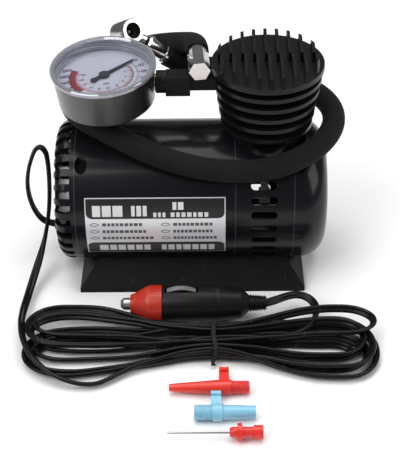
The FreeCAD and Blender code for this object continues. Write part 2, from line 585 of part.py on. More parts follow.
def chuck():
    start = vec(*hose_route[-1])
    laid(keep(lathe("hose_ferrule", [(0, 0), (4.4, 0), (5.1, 0.5), (5.1, 2), (4.3, 2.5), (4.3, 10.5), (4.9, 11),
                                     (4.9, 13), (4, ferrule_length), (0, ferrule_length)])), start, ferrule_axis)
    back = chuck_mouth - mouth_axis * chuck_length
    barrel_form = laid(lathe("chuck_barrel", [(0, 0), (5.2, 0), (6.6, 1.6), (6.6, chuck_length - 1), (6.1, chuck_length),
                                              (4.4, chuck_length), (4.2, chuck_length - 0.6), (4.2, 11.6), (4.8, 11.6),
                                              (4.8, 8.4), (4.2, 8.4), (4.2, 7), (0, 7)]), back, mouth_axis)
    stem_start = start + ferrule_axis * ferrule_length
    reach = back + mouth_axis * 6 - stem_start
    stem = laid(rod("chuck_stem", 3.7, reach.Length, (0, 0, 0)), stem_start, reach)
    room = laid(rod("chuck_room", 4.2, 12, (0, 0, 0)), back + mouth_axis * 7, mouth_axis)
    groove = laid(rod("chuck_groove", 4.8, 3.2, (0, 0, 0)), back + mouth_axis * 8.4, mouth_axis)
    keep(cut("chuck_body", fuse("chuck_form", barrel_form, stem), room, groove))
    laid(keep(tube("chuck_seal", 4.75, 2.6, 3, (0, 0, 0))), back + mouth_axis * 8.5, mouth_axis)
    laid(keep(lathe("chuck_pin", [(0, 0), (1.6, 0), (1.6, 1.2), (0.8, 1.6), (0.8, 4.4), (0, 4.4)])),
         back + mouth_axis * 7, mouth_axis)


# The supply cord, its hank and tie, and the lighter plug

cord_start = [(-79, 5, 14), (-84.5, 5.2, 15), (-88.8, 5, 20.5), (-91.6, 4.4, 30), (-92.4, 3.6, 41.5), (-90.6, 3, 53),
              (-87.4, 2.4, 62.4), (-85.2, 1.8, 67.2), (-82, 1, 69.6), (-79.2, -0.4, 67), (-78.3, -2.2, 61.5),
              (-78.2, -4.6, 51), (-78.8, -7.4, 39.5), (-80.2, -11.6, 28.5), (-82.6, -18.5, 18.5), (-85.6, -28, 11),
              (-88.2, -39.5, 6.4), (-89.6, -52, 4.6), (-90, -64, 5.8), (-89.4, -76, 8), (-87, -88.5, 8.8),
              (-82.5, -98.5, 8.5), (-75.5, -106.4, 6.8), (-66, -112, 4.6), (-56, -114.4, 2.9), (-47.5, -114, 2.6),
              (-41, -110, 2.8), (-35, -105.8, 3.2), (-28, -102, 3.6)]
cord_finish = [(52, -84, 5), (60.5, -77.5, 5.4), (65.2, -70, 6.2), (66.4, -62.5, 7), (63.2, -56, 8), (57, -53.4, 9.2),
               (50.4, -56.4, 10.3), (44.6, -60.4, 11), (39.4, -62.5, 11)]

# Cross-sections of the hank: x, middle y, half depth, half height and lift off the floor
hank_sections = [(-90, -80, 14, 2.2, 0), (-80, -85, 24, 2.8, 0), (-62, -88.5, 21.5, 3.2, 0),
                 (-36, -88, 15.8, 4.2, 0), (11, -86, 11, 5.2, 1), (44, -83.5, 16.2, 4.2, 0),
                 (70, -87, 23.4, 3.2, 0), (86, -88.5, 23.6, 2.8, 0), (97, -88, 12, 2.2, 0)]
tie_section = hank_sections[4]
facing_x = turn(vec(0, 1, 0), vec(0, 0, 1), vec(1, 0, 0), "ZXY")


def oval(across, middle, half_depth, half_height, lift):
    ring = Part.Ellipse(vec(), half_depth, half_height).toShape()
    ring.Placement = FreeCAD.Placement(vec(across, middle, half_height + lift), facing_x)
    return Part.Wire(ring)


def cord():
    grommet = lathe("cord_grommet", [(0, 0), (3.3, 0), (3.3, 5.4), (5, 5.4), (5, 6.6), (4, 7.2), (3.2, 10.6), (0, 10.6)])
    laid(keep(grommet), vec(*cord_start[0]) + vec(10.6, 0, 0), vec(-1, 0, 0))
    keep(solid("cord_near", route(cord_start, value("cord_radius"))))
    keep(solid("cord_far", route(cord_finish, value("cord_radius"))))
    keep(solid("cord_hank", Part.makeLoft([oval(*section) for section in hank_sections], True, True)))
    across, middle, half_depth, half_height, lift = tie_section
    outer, inner = [Part.Face(oval(across - 1.6, middle, half_depth + grow, half_height + grow, lift - grow)).extrude(
        vec(3.2, 0, 0)) for grow in (1, 0.25)]
    keep(solid("cord_tie", outer.cut(inner)))


def plug():
    spot = (0, "plug_y", "plug_z")

    def turned(name, profile):
        return lathe(name, profile, spot, along_x)

    tip = turned("plug_tip", [(0, "tip_x"), ("tip_radius - 1.2", "tip_x"), ("tip_radius", "tip_x + 1.6"),
                              ("tip_radius", "ring_x + 4"), ("tip_radius + 1.2", "ring_x + 4"),
                              ("tip_radius + 1.2", "ring_x + 5.4"), (0, "ring_x + 5.4")])
    keep(tip)
    keep(turned("plug_ring", [("tip_radius + 0.1", "ring_x"), ("tip_radius + 1.6", "ring_x"), (5.6, "ring_x + 2"),
                              (9.2, "ring_x + 8.4"), ("plug_radius", "ring_x + 9.4"), ("plug_radius", "shell_x"),
                              (6.4, "shell_x"), (6.4, "ring_x + 9"), (4.8, "ring_x + 9"), (4.8, "ring_x + 3.6"),
                              ("tip_radius + 0.1", "ring_x + 3.6")]))
    shell = turned("plug_blank", [(4.4, "shell_x"), ("plug_radius - 0.4", "shell_x"), ("plug_radius", "shell_x + 1"),
                                  ("plug_radius", "shell_x + 26"), ("plug_radius - 0.8", "taper_x - 6"),
                                  ("plug_radius - 1.4", "taper_x"), (4.2, "relief_x"), (2.6, "relief_x"),
                                  (2.6, "taper_x - 4"), (4.4, "taper_x - 4")])
    slots = [block(f"contact_slot_{name}", 17.6, 4.4, 6, ("shell_x + 1.6", "plug_y - 2.2", f"plug_z + {low}"))
             for name, low in (("top", 6.6), ("bottom", -12.6))]
    keep(cut("plug_shell", shell, *slots))
    keep(turned("plug_relief", [(0, "relief_x"), (4.1, "relief_x"), (3.4, "relief_end"), (0, "relief_end")]))
    keep(turned("plug_fuse", [(0, "ring_x + 9.6"), (3.1, "ring_x + 9.6"), (3.1, "ring_x + 39"), (0, "ring_x + 39")]))
    for name, side in (("top", 1), ("bottom", -1)):
        arc = [(-7.6, 0), (-7.6, 0.5), (-4.6, 1.6), (-1.6, 2.3), (1.6, 2.3), (4.6, 1.6), (7.6, 0.5), (7.6, 0),
               (7.6, -0.2), (4.6, 0.9), (1.6, 1.6), (-1.6, 1.6), (-4.6, 0.9), (-7.6, -0.2)]
        corners = [(across, side * rise) for across, rise in arc if rise != 0]
        leaf = prism(f"contact_{name}", corners, 3.2)
        keep(place(leaf, ("shell_x + 10.4", "plug_y + 1.6", f"plug_z + {side} * (plug_radius - 1)"),
                   turn(vec(1, 0, 0), 90)))


# The three push-in adapters that lie beside the inflator

def adapters():
    red = lathe("red_cone", [(0.9, 0), (1.8, 0), (2.3, 5), (3.9, 27), (3.9, 31), (3, 31), (3, 40), (1.2, 40), (0.9, 30)],
                ("red_x", "red_y", 3.9), along_x)
    tab = block("red_tab", 5, 8.2, 1.8, ("red_x + 25", "red_y + 2.6", 3))
    bar = block("red_bar", 5, 2, 4.4, ("red_x + 25", "red_y + 10.2", 1.7))
    way = rod("red_way", 0.9, 50, ("red_x - 1", "red_y", 3.9), along_x)
    keep(cut("red_nozzle", fuse("red_form", red, tab, bar), way))
    blue = lathe("blue_cone", [(1.8, 0), (3.5, 0), (3.5, 9), (4.4, 9), (4.4, 13.6), (3.7, 14.2), (3.2, 30), (1.8, 30)],
                 ("blue_x", "blue_y", 4.4), along_x)
    tab = block("blue_tab", 5, 8.4, 1.8, ("blue_x + 8.2", "blue_y + 3", 3.5))
    bar = block("blue_bar", 5, 2, 4.4, ("blue_x + 8.2", "blue_y + 10.6", 2.2))
    way = rod("blue_way", 1.8, 50, ("blue_x - 1", "blue_y", 4.4), along_x)
    keep(cut("blue_nozzle", fuse("blue_form", blue, tab, bar), way))
    hub_x = "needle_x + 30"
    keep(lathe("ball_needle", [(0, 0), (0.45, 0), (0.75, 1.4), (0.75, 30), (2, 31), (2, 33), (0, 33)],
               ("needle_x", "needle_y", 4.4), along_x))
    hub = lathe("hub_form", [(0, 0), (2, 0), (2.6, 1.2), (2.6, 3.8), (4.4, 3.8), (4.4, 6), (2.6, 6), (2.6, 11.5), (3.4, 11.5),
                             (3.4, 16), (1.2, 16), (1.2, 4), (0, 4)], (hub_x, "needle_y", 4.4), along_x)
    needle_room = lathe("needle_room", [(0, 0), (0.75, 0), (0.75, 30), (2, 31), (2, 33), (0, 33)],
                        ("needle_x", "needle_y", 4.4), along_x)
    keep(cut("needle_hub", hub, needle_room))


case_halves()
case_screws()
foot()
rating_label()
motor()
gear_train()
gearbox_frame()
piston()
gauge()
outlet_arm()
hose()
chuck()
cord()
plug()
adapters()
doc.recompute()

failed = [item.Label for item in doc.Objects if "Invalid" in item.State or "Error" in item.State]
broken = [item.Label for item in nodes if item.Shape.isNull() or not item.Shape.isValid()]
if failed or broken:
    raise SystemExit(f"failed: {failed}, broken: {broken}")
os.makedirs("parts", exist_ok=True)
for item in nodes:
    item.Shape.exportStep(f"parts/{item.Label}.step")
print(len(nodes), "nodes written")
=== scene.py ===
import json
import math
import random

import bmesh
import bpy
from mathutils import Matrix, Vector

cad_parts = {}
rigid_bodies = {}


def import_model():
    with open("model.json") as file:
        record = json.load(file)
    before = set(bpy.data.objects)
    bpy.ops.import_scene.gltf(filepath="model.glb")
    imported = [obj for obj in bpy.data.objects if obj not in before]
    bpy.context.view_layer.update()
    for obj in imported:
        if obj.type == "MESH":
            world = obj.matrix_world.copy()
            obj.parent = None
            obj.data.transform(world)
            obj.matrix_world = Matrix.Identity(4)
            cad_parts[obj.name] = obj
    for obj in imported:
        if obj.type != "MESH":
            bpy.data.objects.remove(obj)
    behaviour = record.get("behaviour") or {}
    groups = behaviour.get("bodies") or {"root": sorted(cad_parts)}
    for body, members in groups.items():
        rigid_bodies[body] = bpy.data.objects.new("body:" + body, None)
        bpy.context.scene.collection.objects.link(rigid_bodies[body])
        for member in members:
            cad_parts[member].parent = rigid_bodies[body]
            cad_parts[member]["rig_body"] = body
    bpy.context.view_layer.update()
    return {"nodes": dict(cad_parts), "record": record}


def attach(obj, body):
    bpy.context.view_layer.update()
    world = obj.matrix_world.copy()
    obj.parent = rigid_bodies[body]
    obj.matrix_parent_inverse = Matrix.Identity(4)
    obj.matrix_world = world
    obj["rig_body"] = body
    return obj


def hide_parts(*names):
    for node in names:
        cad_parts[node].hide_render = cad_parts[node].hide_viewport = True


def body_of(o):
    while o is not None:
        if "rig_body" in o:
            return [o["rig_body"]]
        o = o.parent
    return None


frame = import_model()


# Node trees: an expression on signals adds its maths nodes

class Signal:
    def __init__(self, wiring, socket):
        self.wiring = wiring
        self.socket = socket

    def __add__(self, other):
        return self.wiring.maths("ADD", self, other)

    def __radd__(self, other):
        return self.wiring.maths("ADD", other, self)

    def __sub__(self, other):
        return self.wiring.maths("SUBTRACT", self, other)

    def __rsub__(self, other):
        return self.wiring.maths("SUBTRACT", other, self)

    def __mul__(self, other):
        return self.wiring.maths("MULTIPLY", self, other)

    def __rmul__(self, other):
        return self.wiring.maths("MULTIPLY", other, self)

    def __truediv__(self, other):
        return self.wiring.maths("DIVIDE", self, other)

    def __rtruediv__(self, other):
        return self.wiring.maths("DIVIDE", other, self)

    def __gt__(self, other):
        return self.wiring.maths("GREATER_THAN", self, other)

    def __lt__(self, other):
        return self.wiring.maths("LESS_THAN", self, other)

    def __mod__(self, other):
        return self.wiring.maths("FLOORED_MODULO", self, other)

    def __abs__(self):
        return self.wiring.maths("ABSOLUTE", self)

    def __floor__(self):
        return self.wiring.maths("FLOOR", self)


class Wiring:
    def __init__(self, tree):
        self.tree = tree

    def node(self, kind, settings=None, values=None, output=0):
        made = self.tree.nodes.new(kind)
        for name, value in (settings or {}).items():
            if name == "stops":
                ramp = made.color_ramp
                while len(ramp.elements) < len(value):
                    ramp.elements.new(0.5)
                for element, (position, colour) in zip(ramp.elements, value):
                    element.position = position
                    element.color = colour if len(colour) == 4 else (*colour, 1)
            else:
                setattr(made, name, value)
        for name, value in (values or {}).items():
            self.feed(made.inputs[name], value)
        return Signal(self, made.outputs[output])

    def feed(self, socket, value):
        if isinstance(value, Signal):
            self.tree.links.new(value.socket, socket)
        else:
            socket.default_value = value

    def maths(self, operation, *values):
        return self.node("ShaderNodeMath", {"operation": operation}, dict(enumerate(values)))


class Finish(Wiring):
    def __init__(self, name, **fixed):
        self.material = bpy.data.materials.new(name)
        self.material.use_nodes = True
        super().__init__(self.material.node_tree)
        self.shader = self.tree.nodes["Principled BSDF"]
        self.set(**fixed)
        self.place = self.node("ShaderNodeTexCoord", output="Object")

    def set(self, **values):
        for name, value in values.items():
            self.feed(self.shader.inputs[name.replace("_", " ")], value)

    def part(self, axis):
        return self.node("ShaderNodeSeparateXYZ", None, {0: self.place}, axis)

    def noise(self, scale, detail=3, roughness=0.55, place=None):
        return self.node("ShaderNodeTexNoise", None, {
            "Vector": place or self.place, "Scale": scale, "Detail": detail, "Roughness": roughness})

    def stretched(self, across, along, up):
        return self.node("ShaderNodeMapping", None, {"Vector": self.place, "Scale": (across, along, up)})

    def ramp(self, factor, stops):
        return self.node("ShaderNodeValToRGB", {"stops": stops}, {0: factor})

    def tint(self, factor, first, second):
        return self.node("ShaderNodeMix", {"data_type": "RGBA"}, {0: factor, 6: first, 7: second}, 2)

    def fade(self, value, low, high):
        return self.node("ShaderNodeMapRange", {"interpolation_type": "SMOOTHSTEP"}, {0: value, 1: low, 2: high})

    def raise_(self, height, depth, strength=1.0, after=None):
        values = {"Height": height, "Distance": depth, "Strength": strength}
        if after:
            values["Normal"] = after
        return self.node("ShaderNodeBump", None, values)


def rgb(red, green, blue):
    return (red, green, blue, 1.0)


# Finishes

def moulded(name, look):
    made = Finish(name, **look.get("fixed", {}))
    cloudy, fine = made.noise(look.get("cloud", 45)), made.noise(look.get("grain", 900), 2)
    scuffs = made.fade(made.noise(260, 2, 0.6, made.stretched(1, 0.16, 0.5)), 0.66, 0.74)
    colour = made.tint(cloudy, rgb(*look["dark"]), rgb(*look["light"]))
    made.set(Base_Color=made.tint(scuffs * 0.35, colour, rgb(*look.get("worn", (0.05, 0.05, 0.05)))),
             Roughness=look["rough"] + (cloudy - 0.5) * look.get("spread", 0.1) + scuffs * 0.12,
             Normal=made.raise_(fine, look.get("depth", 0.00003), 0.35,
                                made.raise_(cloudy, look.get("wave", 0.00008), 0.3)))
    return made.material


def plated(name, look):
    made = Finish(name, Metallic=1.0, **look.get("fixed", {}))
    cloudy = made.noise(look.get("cloud", 120))
    brushed = made.noise(700, 3, 0.6, made.stretched(*look.get("brush", (0.1, 1, 1))))
    made.set(Base_Color=made.tint(cloudy, rgb(*look["dark"]), rgb(*look["light"])),
             Roughness=look["rough"] + (brushed - 0.5) * look.get("spread", 0.12) + (cloudy - 0.5) * 0.08,
             Normal=made.raise_(brushed, look.get("depth", 0.00001), 0.3))
    return made.material


def barrelGloss():
    barrel = {"headFrom": 0.0815, "headBlend": 0.002, "gloss": 0.27, "satin": 0.34, "coat": 0.22, "coatLoss": 0.04,
              "ringSeams": (-0.0615, 0.0235, 0.0545), "seamWidth": 0.00022, "splitWidth": 0.00035}
    made = Finish("barrelGloss", Coat_Roughness=0.12, Specular_IOR_Level=0.14)
    x, z = made.part(0), made.part(2)
    head = made.fade(z, barrel["headFrom"], barrel["headFrom"] + barrel["headBlend"])
    cloudy, fine = made.noise(38), made.noise(1100, 2)
    dust = made.fade(made.noise(1500, 1), 0.72, 0.78)
    colour = made.tint(cloudy, rgb(0.0055, 0.0055, 0.0075), rgb(0.0085, 0.0085, 0.011))
    colour = made.tint(head, colour, rgb(0.0075, 0.0075, 0.008))
    seams = 0
    for spot in barrel["ringSeams"]:
        seams = seams + (abs(x - spot) < barrel["seamWidth"])
    seams = seams * (1 - head)
    split = abs(made.part(1)) < barrel["splitWidth"]
    colour = made.tint(dust * 0.10 + seams * 0.3, colour, rgb(0.13, 0.13, 0.14))
    rough = barrel["gloss"] + head * (barrel["satin"] - barrel["gloss"])
    ripple = made.raise_(fine, 0.00003, 0.12, made.raise_(cloudy, 0.0005, 0.12))
    made.set(Base_Color=made.tint(split, colour, rgb(0.001, 0.001, 0.001)),
             Roughness=rough + (cloudy - 0.5) * 0.10 + dust * 0.1 + split * 0.5,
             Coat_Weight=barrel["coat"] - head * barrel["coatLoss"],
             Normal=made.raise_(seams - split, 0.0002, 0.5, ripple))
    return made.material


def labelFilm():
    made = Finish("labelFilm", Metallic=0.25, Coat_Weight=0.4, Coat_Roughness=0.15)
    cloudy = made.noise(70)
    brushed = made.noise(900, 2, 0.5, made.stretched(0.06, 1, 1))
    made.set(Base_Color=made.tint(cloudy, rgb(0.74, 0.75, 0.77), rgb(0.84, 0.85, 0.87)),
             Roughness=0.36 + (brushed - 0.5) * 0.15, Normal=made.raise_(cloudy, 0.0002, 0.2))
    return made.material


def ink(name, colour):
    made = Finish(name)
    patchy = made.noise(1600, 2)
    made.set(Base_Color=made.tint(patchy, rgb(*[part * 0.82 for part in colour]), rgb(*colour)),
             Roughness=0.4 + (patchy - 0.5) * 0.15)
    return made.material


def braidCloth():
    # uv is wound round the hose: u counts carriers, v counts the same width along it
    made = Finish("braidCloth", Sheen_Weight=0.02, Sheen_Roughness=0.5, Specular_IOR_Level=0.1)
    weave = made.node("ShaderNodeUVMap", {"uv_map": "weave"})
    u = made.node("ShaderNodeSeparateXYZ", None, {0: weave}, 0)
    v = made.node("ShaderNodeSeparateXYZ", None, {0: weave}, 1)
    rising, falling = u + v, u - v
    first, second = rising % 1, falling % 1
    over = (math.floor(rising) + math.floor(falling)) % 2
    humpOne = 1 - abs(first * 2 - 1) * abs(first * 2 - 1)
    humpTwo = 1 - abs(second * 2 - 1) * abs(second * 2 - 1)
    threadOne = made.maths("SINE", first * 25)
    threadTwo = made.maths("SINE", second * 25)
    height = over * (humpOne + threadOne * 0.12) + (1 - over) * (humpTwo + threadTwo * 0.12)
    fuzz = made.noise(2600, 2)
    cloudy = made.noise(60)
    # painted shade and light: the colour goes near black in the hollows between the threads and lighter on their
    # crowns, following the weave height
    paintedWeaveShade = made.fade(height + (fuzz - 0.5) * 0.9, 0.35, 1.25)
    colour = made.tint(paintedWeaveShade, rgb(0.0004, 0.0004, 0.0005), rgb(0.024, 0.024, 0.0245))
    made.set(Base_Color=made.tint(made.fade(fuzz, 0.63, 0.75) * 0.4, colour, rgb(0.10, 0.10, 0.10)),
             Roughness=0.74 + (cloudy - 0.5) * 0.12 + (fuzz - 0.5) * 0.2,
             Normal=made.raise_(fuzz, 0.00008, 0.4, made.raise_(height, 0.00032, 0.7)))
    return made.material


def dialEnamel():
    made = Finish("dialEnamel", Coat_Weight=0.3, Coat_Roughness=0.2)
    cloudy, fine = made.noise(90), made.noise(1500, 2)
    made.set(Base_Color=made.tint(cloudy, rgb(0.46, 0.46, 0.53), rgb(0.53, 0.53, 0.60)),
             Roughness=0.42 + (fine - 0.5) * 0.12, Normal=made.raise_(fine, 0.00002, 0.2))
    return made.material


def bandedWall():
    # painted light: pale and dark rings standing in for the light the clear ribbed rim lets through onto the wall round
    # the dial
    made = Finish("bandedWall", Coat_Weight=0.4, Coat_Roughness=0.1)
    # painted light bands: stretched noise sets the pale and dark rings up the wall
    bands = made.fade(made.noise(1100, 2, 0.5, made.stretched(0.03, 0.03, 1)), 0.42, 0.60)
    cloudy = made.noise(150)
    made.set(Base_Color=made.tint(bands, rgb(0.16, 0.16, 0.19), rgb(0.52, 0.52, 0.58)),
             Roughness=0.32 + (cloudy - 0.5) * 0.14)
    return made.material


def thinClear(name, tone, shine, most, metal):
    # light passes straight on except where the surface turns away
    made = Finish(name, Specular_IOR_Level=0.7, Metallic=metal)
    streaks = made.noise(420, 3, 0.6, made.stretched(1, 0.25, 1))
    made.set(Base_Color=made.tint(streaks, rgb(*[part * 0.8 for part in tone]), rgb(*tone)),
             Roughness=0.05 + streaks * 0.1)
    see = made.node("ShaderNodeBsdfTransparent", None, {0: rgb(0.95, 0.955, 0.97)})
    turned = made.node("ShaderNodeLayerWeight", None, {"Blend": 0.25}, 1)
    cover = shine + turned * (most - shine) + (streaks - 0.5) * 0.03
    mixed = made.node("ShaderNodeMixShader", None, {0: cover, 1: see})
    made.tree.links.new(made.shader.outputs[0], mixed.socket.node.inputs[2])
    made.tree.links.new(mixed.socket, made.tree.nodes["Material Output"].inputs["Surface"])
    return made.material


def glassyPlastic(name, dark, light, passing):
    made = Finish(name, Transmission_Weight=passing, IOR=1.46, Subsurface_Weight=0.25,
                  Subsurface_Radius=(0.004, 0.002, 0.002), Subsurface_Scale=0.5)
    cloudy, fine = made.noise(80), made.noise(1300, 2)
    made.set(Base_Color=made.tint(cloudy, rgb(*dark), rgb(*light)), Roughness=0.24 + (fine - 0.5) * 0.12,
             Normal=made.raise_(fine, 0.00003, 0.25, made.raise_(cloudy, 0.0002, 0.15)))
    return made.material


finishes = {
    "gloss_case": barrelGloss(),
    "satin_black": moulded("satinBlack", {"dark": (0.006, 0.006, 0.0065), "light": (0.010, 0.010, 0.0105),
                                          "rough": 0.40, "grain": 1500, "depth": 0.00006,
                                          "fixed": {"Specular_IOR_Level": 0.09}}),
    "label_print": labelFilm(),
    "steel": plated("brushedSteel", {"dark": (0.42, 0.41, 0.40), "light": (0.58, 0.57, 0.56), "rough": 0.30}),
    "zinc": plated("brightZinc", {"dark": (0.55, 0.55, 0.57), "light": (0.70, 0.70, 0.72), "rough": 0.26}),
    "chrome": plated("polishedChrome", {"dark": (0.56, 0.54, 0.52), "light": (0.72, 0.70, 0.68), "rough": 0.15,
                                        "spread": 0.08}),
    "brass": plated("turnedBrass", {"dark": (0.60, 0.42, 0.18), "light": (0.76, 0.57, 0.28), "rough": 0.25}),
    "alloy": plated("castAlloy", {"dark": (0.26, 0.26, 0.27), "light": (0.36, 0.36, 0.37), "rough": 0.45,
                                  "depth": 0.00005}),
    "copper": plated("enamelledCopper", {"dark": (0.55, 0.22, 0.10), "light": (0.78, 0.38, 0.20), "rough": 0.3}),
    "carbon": moulded("carbonBlock", {"dark": (0.02, 0.02, 0.02), "light": (0.05, 0.05, 0.05), "worn": (0.1, 0.1, 0.1),
                                      "rough": 0.65}),
    "nylon": moulded("naturalNylon", {"dark": (0.70, 0.68, 0.60), "light": (0.80, 0.78, 0.70),
                                      "worn": (0.85, 0.84, 0.8), "rough": 0.45}),
    "gear_nylon": moulded("gearNylon", {"dark": (0.72, 0.70, 0.64), "light": (0.82, 0.80, 0.74),
                                        "worn": (0.88, 0.87, 0.84), "rough": 0.4}),
    "clear": thinClear("clearCover", (0.8, 0.81, 0.84), 0.02, 0.25, 1.0),
    "dial_print": dialEnamel(),
    "needle_black": moulded("needlePaint", {"dark": (0.010, 0.010, 0.014), "light": (0.016, 0.016, 0.022),
                                            "rough": 0.45}),
    "rubber": moulded("mattRubber", {"dark": (0.012, 0.012, 0.012), "light": (0.022, 0.022, 0.022),
                                     "worn": (0.06, 0.06, 0.06), "rough": 0.62, "depth": 0.00008,
                                     "fixed": {"Specular_IOR_Level": 0.15}}),
    "braid": braidCloth(),
    "cord_jacket": moulded("cordJacket", {"dark": (0.005, 0.005, 0.0055), "light": (0.009, 0.009, 0.0095),
                                          "rough": 0.24, "spread": 0.14, "cloud": 70, "grain": 1800,
                                          "fixed": {"Specular_IOR_Level": 0.16}}),
    "plug_black": moulded("plugBlack", {"dark": (0.005, 0.005, 0.0055), "light": (0.009, 0.009, 0.0095),
                                        "rough": 0.33, "grain": 1500, "fixed": {"Specular_IOR_Level": 0.16}}),
    "plug_red": moulded("plugRed", {"dark": (0.42, 0.022, 0.010), "light": (0.56, 0.035, 0.014),
                                    "worn": (0.65, 0.12, 0.08), "rough": 0.34}),
    "adapter_red": glassyPlastic("adapterRed", (0.66, 0.030, 0.022), (0.80, 0.050, 0.034), 0.0),
    "adapter_blue": glassyPlastic("adapterBlue", (0.28, 0.64, 0.86), (0.40, 0.76, 0.93), 0.25),
    # painted shade: brass darkened to near black for the chuck pin, which sits in the shade inside the chuck mouth
    "deepBrass": plated("deepBrass", {"dark": (0.06, 0.045, 0.025), "light": (0.12, 0.09, 0.05), "rough": 0.4}),
    "fuse_glass": thinClear("fuseGlass", (0.8, 0.84, 0.84), 0.08, 0.6, 1.0),
}
gaugeGloss = moulded("gaugeGloss", {"dark": (0.008, 0.008, 0.009), "light": (0.012, 0.012, 0.013),
                                    "rough": 0.30, "spread": 0.08, "wave": 0.0002,
                                    "fixed": {"Coat_Weight": 0.5, "Coat_Roughness": 0.25, "Specular_IOR_Level": 0.7}})
inks = {"black": ink("inkBlack", (0.012, 0.012, 0.014)), "white": ink("inkWhite", (0.80, 0.80, 0.78)),
        "grey": ink("inkGrey", (0.10, 0.10, 0.11)), "red": ink("inkRed", (0.25, 0.022, 0.026)),
        "pink": ink("inkPink", (0.30, 0.020, 0.028)), "navy": ink("inkNavy", (0.010, 0.012, 0.035))}
print("finishes ready")


# Shared makers

def shown(name, data):
    thing = bpy.data.objects.new(name, data)
    bpy.context.scene.collection.objects.link(thing)
    return thing


def settle(name, mesh, body, finish=None, replaced=()):
    piece = shown(name, mesh)
    if finish:
        mesh.materials.clear()
        mesh.materials.append(finish)
    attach(piece, body)
    if replaced:
        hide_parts(*replaced)
    return piece


def meshFrom(name, corners, faces, sharp=35, tidy=True):
    mesh = bpy.data.meshes.new(name)
    mesh.from_pydata([tuple(corner) for corner in corners], [], faces)
    if tidy:
        work = bmesh.new()
        work.from_mesh(mesh)
        bmesh.ops.remove_doubles(work, verts=work.verts, dist=1e-7)
        bmesh.ops.recalc_face_normals(work, faces=work.faces)
        work.to_mesh(mesh)
        work.free()
    mesh.shade_smooth()
    mesh.set_sharp_from_angle(angle=math.radians(sharp))
    return mesh


def joined(name, meshes):
    work = bmesh.new()
    for mesh in meshes:
        work.from_mesh(mesh)
    together = bpy.data.meshes.new(name)
    work.to_mesh(together)
    work.free()
    for mesh in meshes:
        bpy.data.meshes.remove(mesh)
    return together


def smoothed(nodeName, name, slot, finish=None):
    node = frame["nodes"][nodeName]
    work = bmesh.new()
    work.from_mesh(node.data)
    bmesh.ops.remove_doubles(work, verts=work.verts, dist=2e-6)
    work.verts.index_update()
    corners = [corner.co.copy() for corner in work.verts]
    faces = [[corner.index for corner in face.verts] for face in work.faces]
    work.free()
    mesh = meshFrom(name, corners, faces, 32, tidy=False)
    return settle(name, mesh, body_of(node)[0], finish or finishes[slot], [nodeName])


def lathed(name, section, steps, place):
    corners, faces = [], []
    count = len(section)
    for step in range(steps):
        angle = 2 * math.pi * step / steps
        for radius, height in section:
            corners.append(place @ Vector((radius * math.cos(angle), radius * math.sin(angle), height)))
    for step in range(steps):
        here, there = step * count, (step + 1) % steps * count
        for index in range(count):
            after = (index + 1) % count
            faces.append((here + index, there + index, there + after, here + after))
    return meshFrom(name, corners, faces)


def smoothPath(name, points, fineness):
    line = bpy.data.curves.new(name, "CURVE")
    line.dimensions = "3D"
    spline = line.splines.new("NURBS")
    spline.points.add(len(points) - 1)
    for spot, point in zip(spline.points, points):
        spot.co = (*point, 1)
    spline.order_u = 3
    spline.use_endpoint_u = True
    line.resolution_u = fineness
    holder = shown(name, line)
    traced = bpy.data.meshes.new_from_object(holder)
    path = [corner.co.copy() for corner in traced.vertices]
    bpy.data.objects.remove(holder)
    bpy.data.meshes.remove(traced)
    return [here for here, there in zip(path, path[1:] + [path[0]]) if (there - here).length > 1e-6]


def tangents(path):
    ends = [path[0]] + path + [path[-1]]
    return [(after - before).normalized() for before, after in zip(ends, ends[2:])]


def carried(path, first):
    across, directions = [], tangents(path)
    side = first
    for direction in directions:
        side = (side - direction * side.dot(direction)).normalized()
        across.append(side)
    return across, directions


def swept(name, path, across, directions, outline, carriers=None):
    corners, faces = [], []
    count = len(outline)
    for spot, side, direction in zip(path, across, directions):
        up = direction.cross(side)
        corners += [spot + side * sideways + up * upward for sideways, upward in outline]
    for ring in range(len(path) - 1):
        for index in range(count):
            here, after = ring * count + index, ring * count + (index + 1) % count
            faces.append((here, after, after + count, here + count))
    last = (len(path) - 1) * count
    faces.append(tuple(reversed(range(count))))
    faces.append(tuple(range(last, last + count)))
    mesh = meshFrom(name, corners, faces, 60, tidy=False)
    if carriers:
        layer = mesh.uv_layers.new(name="weave")
        around = measured([Vector(spot) for spot in outline + outline[:1]])
        run = [0.0]
        for here, there in zip(path, path[1:]):
            run.append(run[-1] + (there - here).length)
        corner = 0
        for ring in range(len(path) - 1):
            for index in range(count):
                for step, row in ((index, ring), (index + 1, ring), (index + 1, ring + 1), (index, ring + 1)):
                    layer.data[corner].uv = (carriers * step / count, carriers * run[row] / around)
                    corner += 1
    return mesh


def measured(path):
    return sum((there - here).length for here, there in zip(path, path[1:]))


# Trees for what repeats

def groupOf(name, sizes):
    tree = bpy.data.node_groups.new(name, "GeometryNodeTree")
    tree.interface.new_socket("Geometry", in_out="OUTPUT", socket_type="NodeSocketGeometry")
    for title, kind in sizes.items():
        tree.interface.new_socket(title, in_out="INPUT", socket_type="NodeSocket" + kind)
    wiring = Wiring(tree)
    source = tree.nodes.new("NodeGroupInput")
    return wiring, {title: Signal(wiring, source.outputs[title]) for title in sizes}


def finishGroup(wiring, instances, finish):
    solid = wiring.node("GeometryNodeRealizeInstances", None, {0: instances})
    dressed = wiring.node("GeometryNodeSetMaterial", None, {"Geometry": solid, "Material": finish})
    sink = wiring.tree.nodes.new("NodeGroupOutput")
    wiring.feed(sink.inputs["Geometry"], dressed)
    return wiring.tree


def placed(wiring, given, spot):
    points = wiring.node("GeometryNodeMeshLine", None, {"Count": given["Count"], "Offset": (0, 0, 0)})
    return wiring.node("GeometryNodeSetPosition", None, {"Geometry": points, "Position": spot})


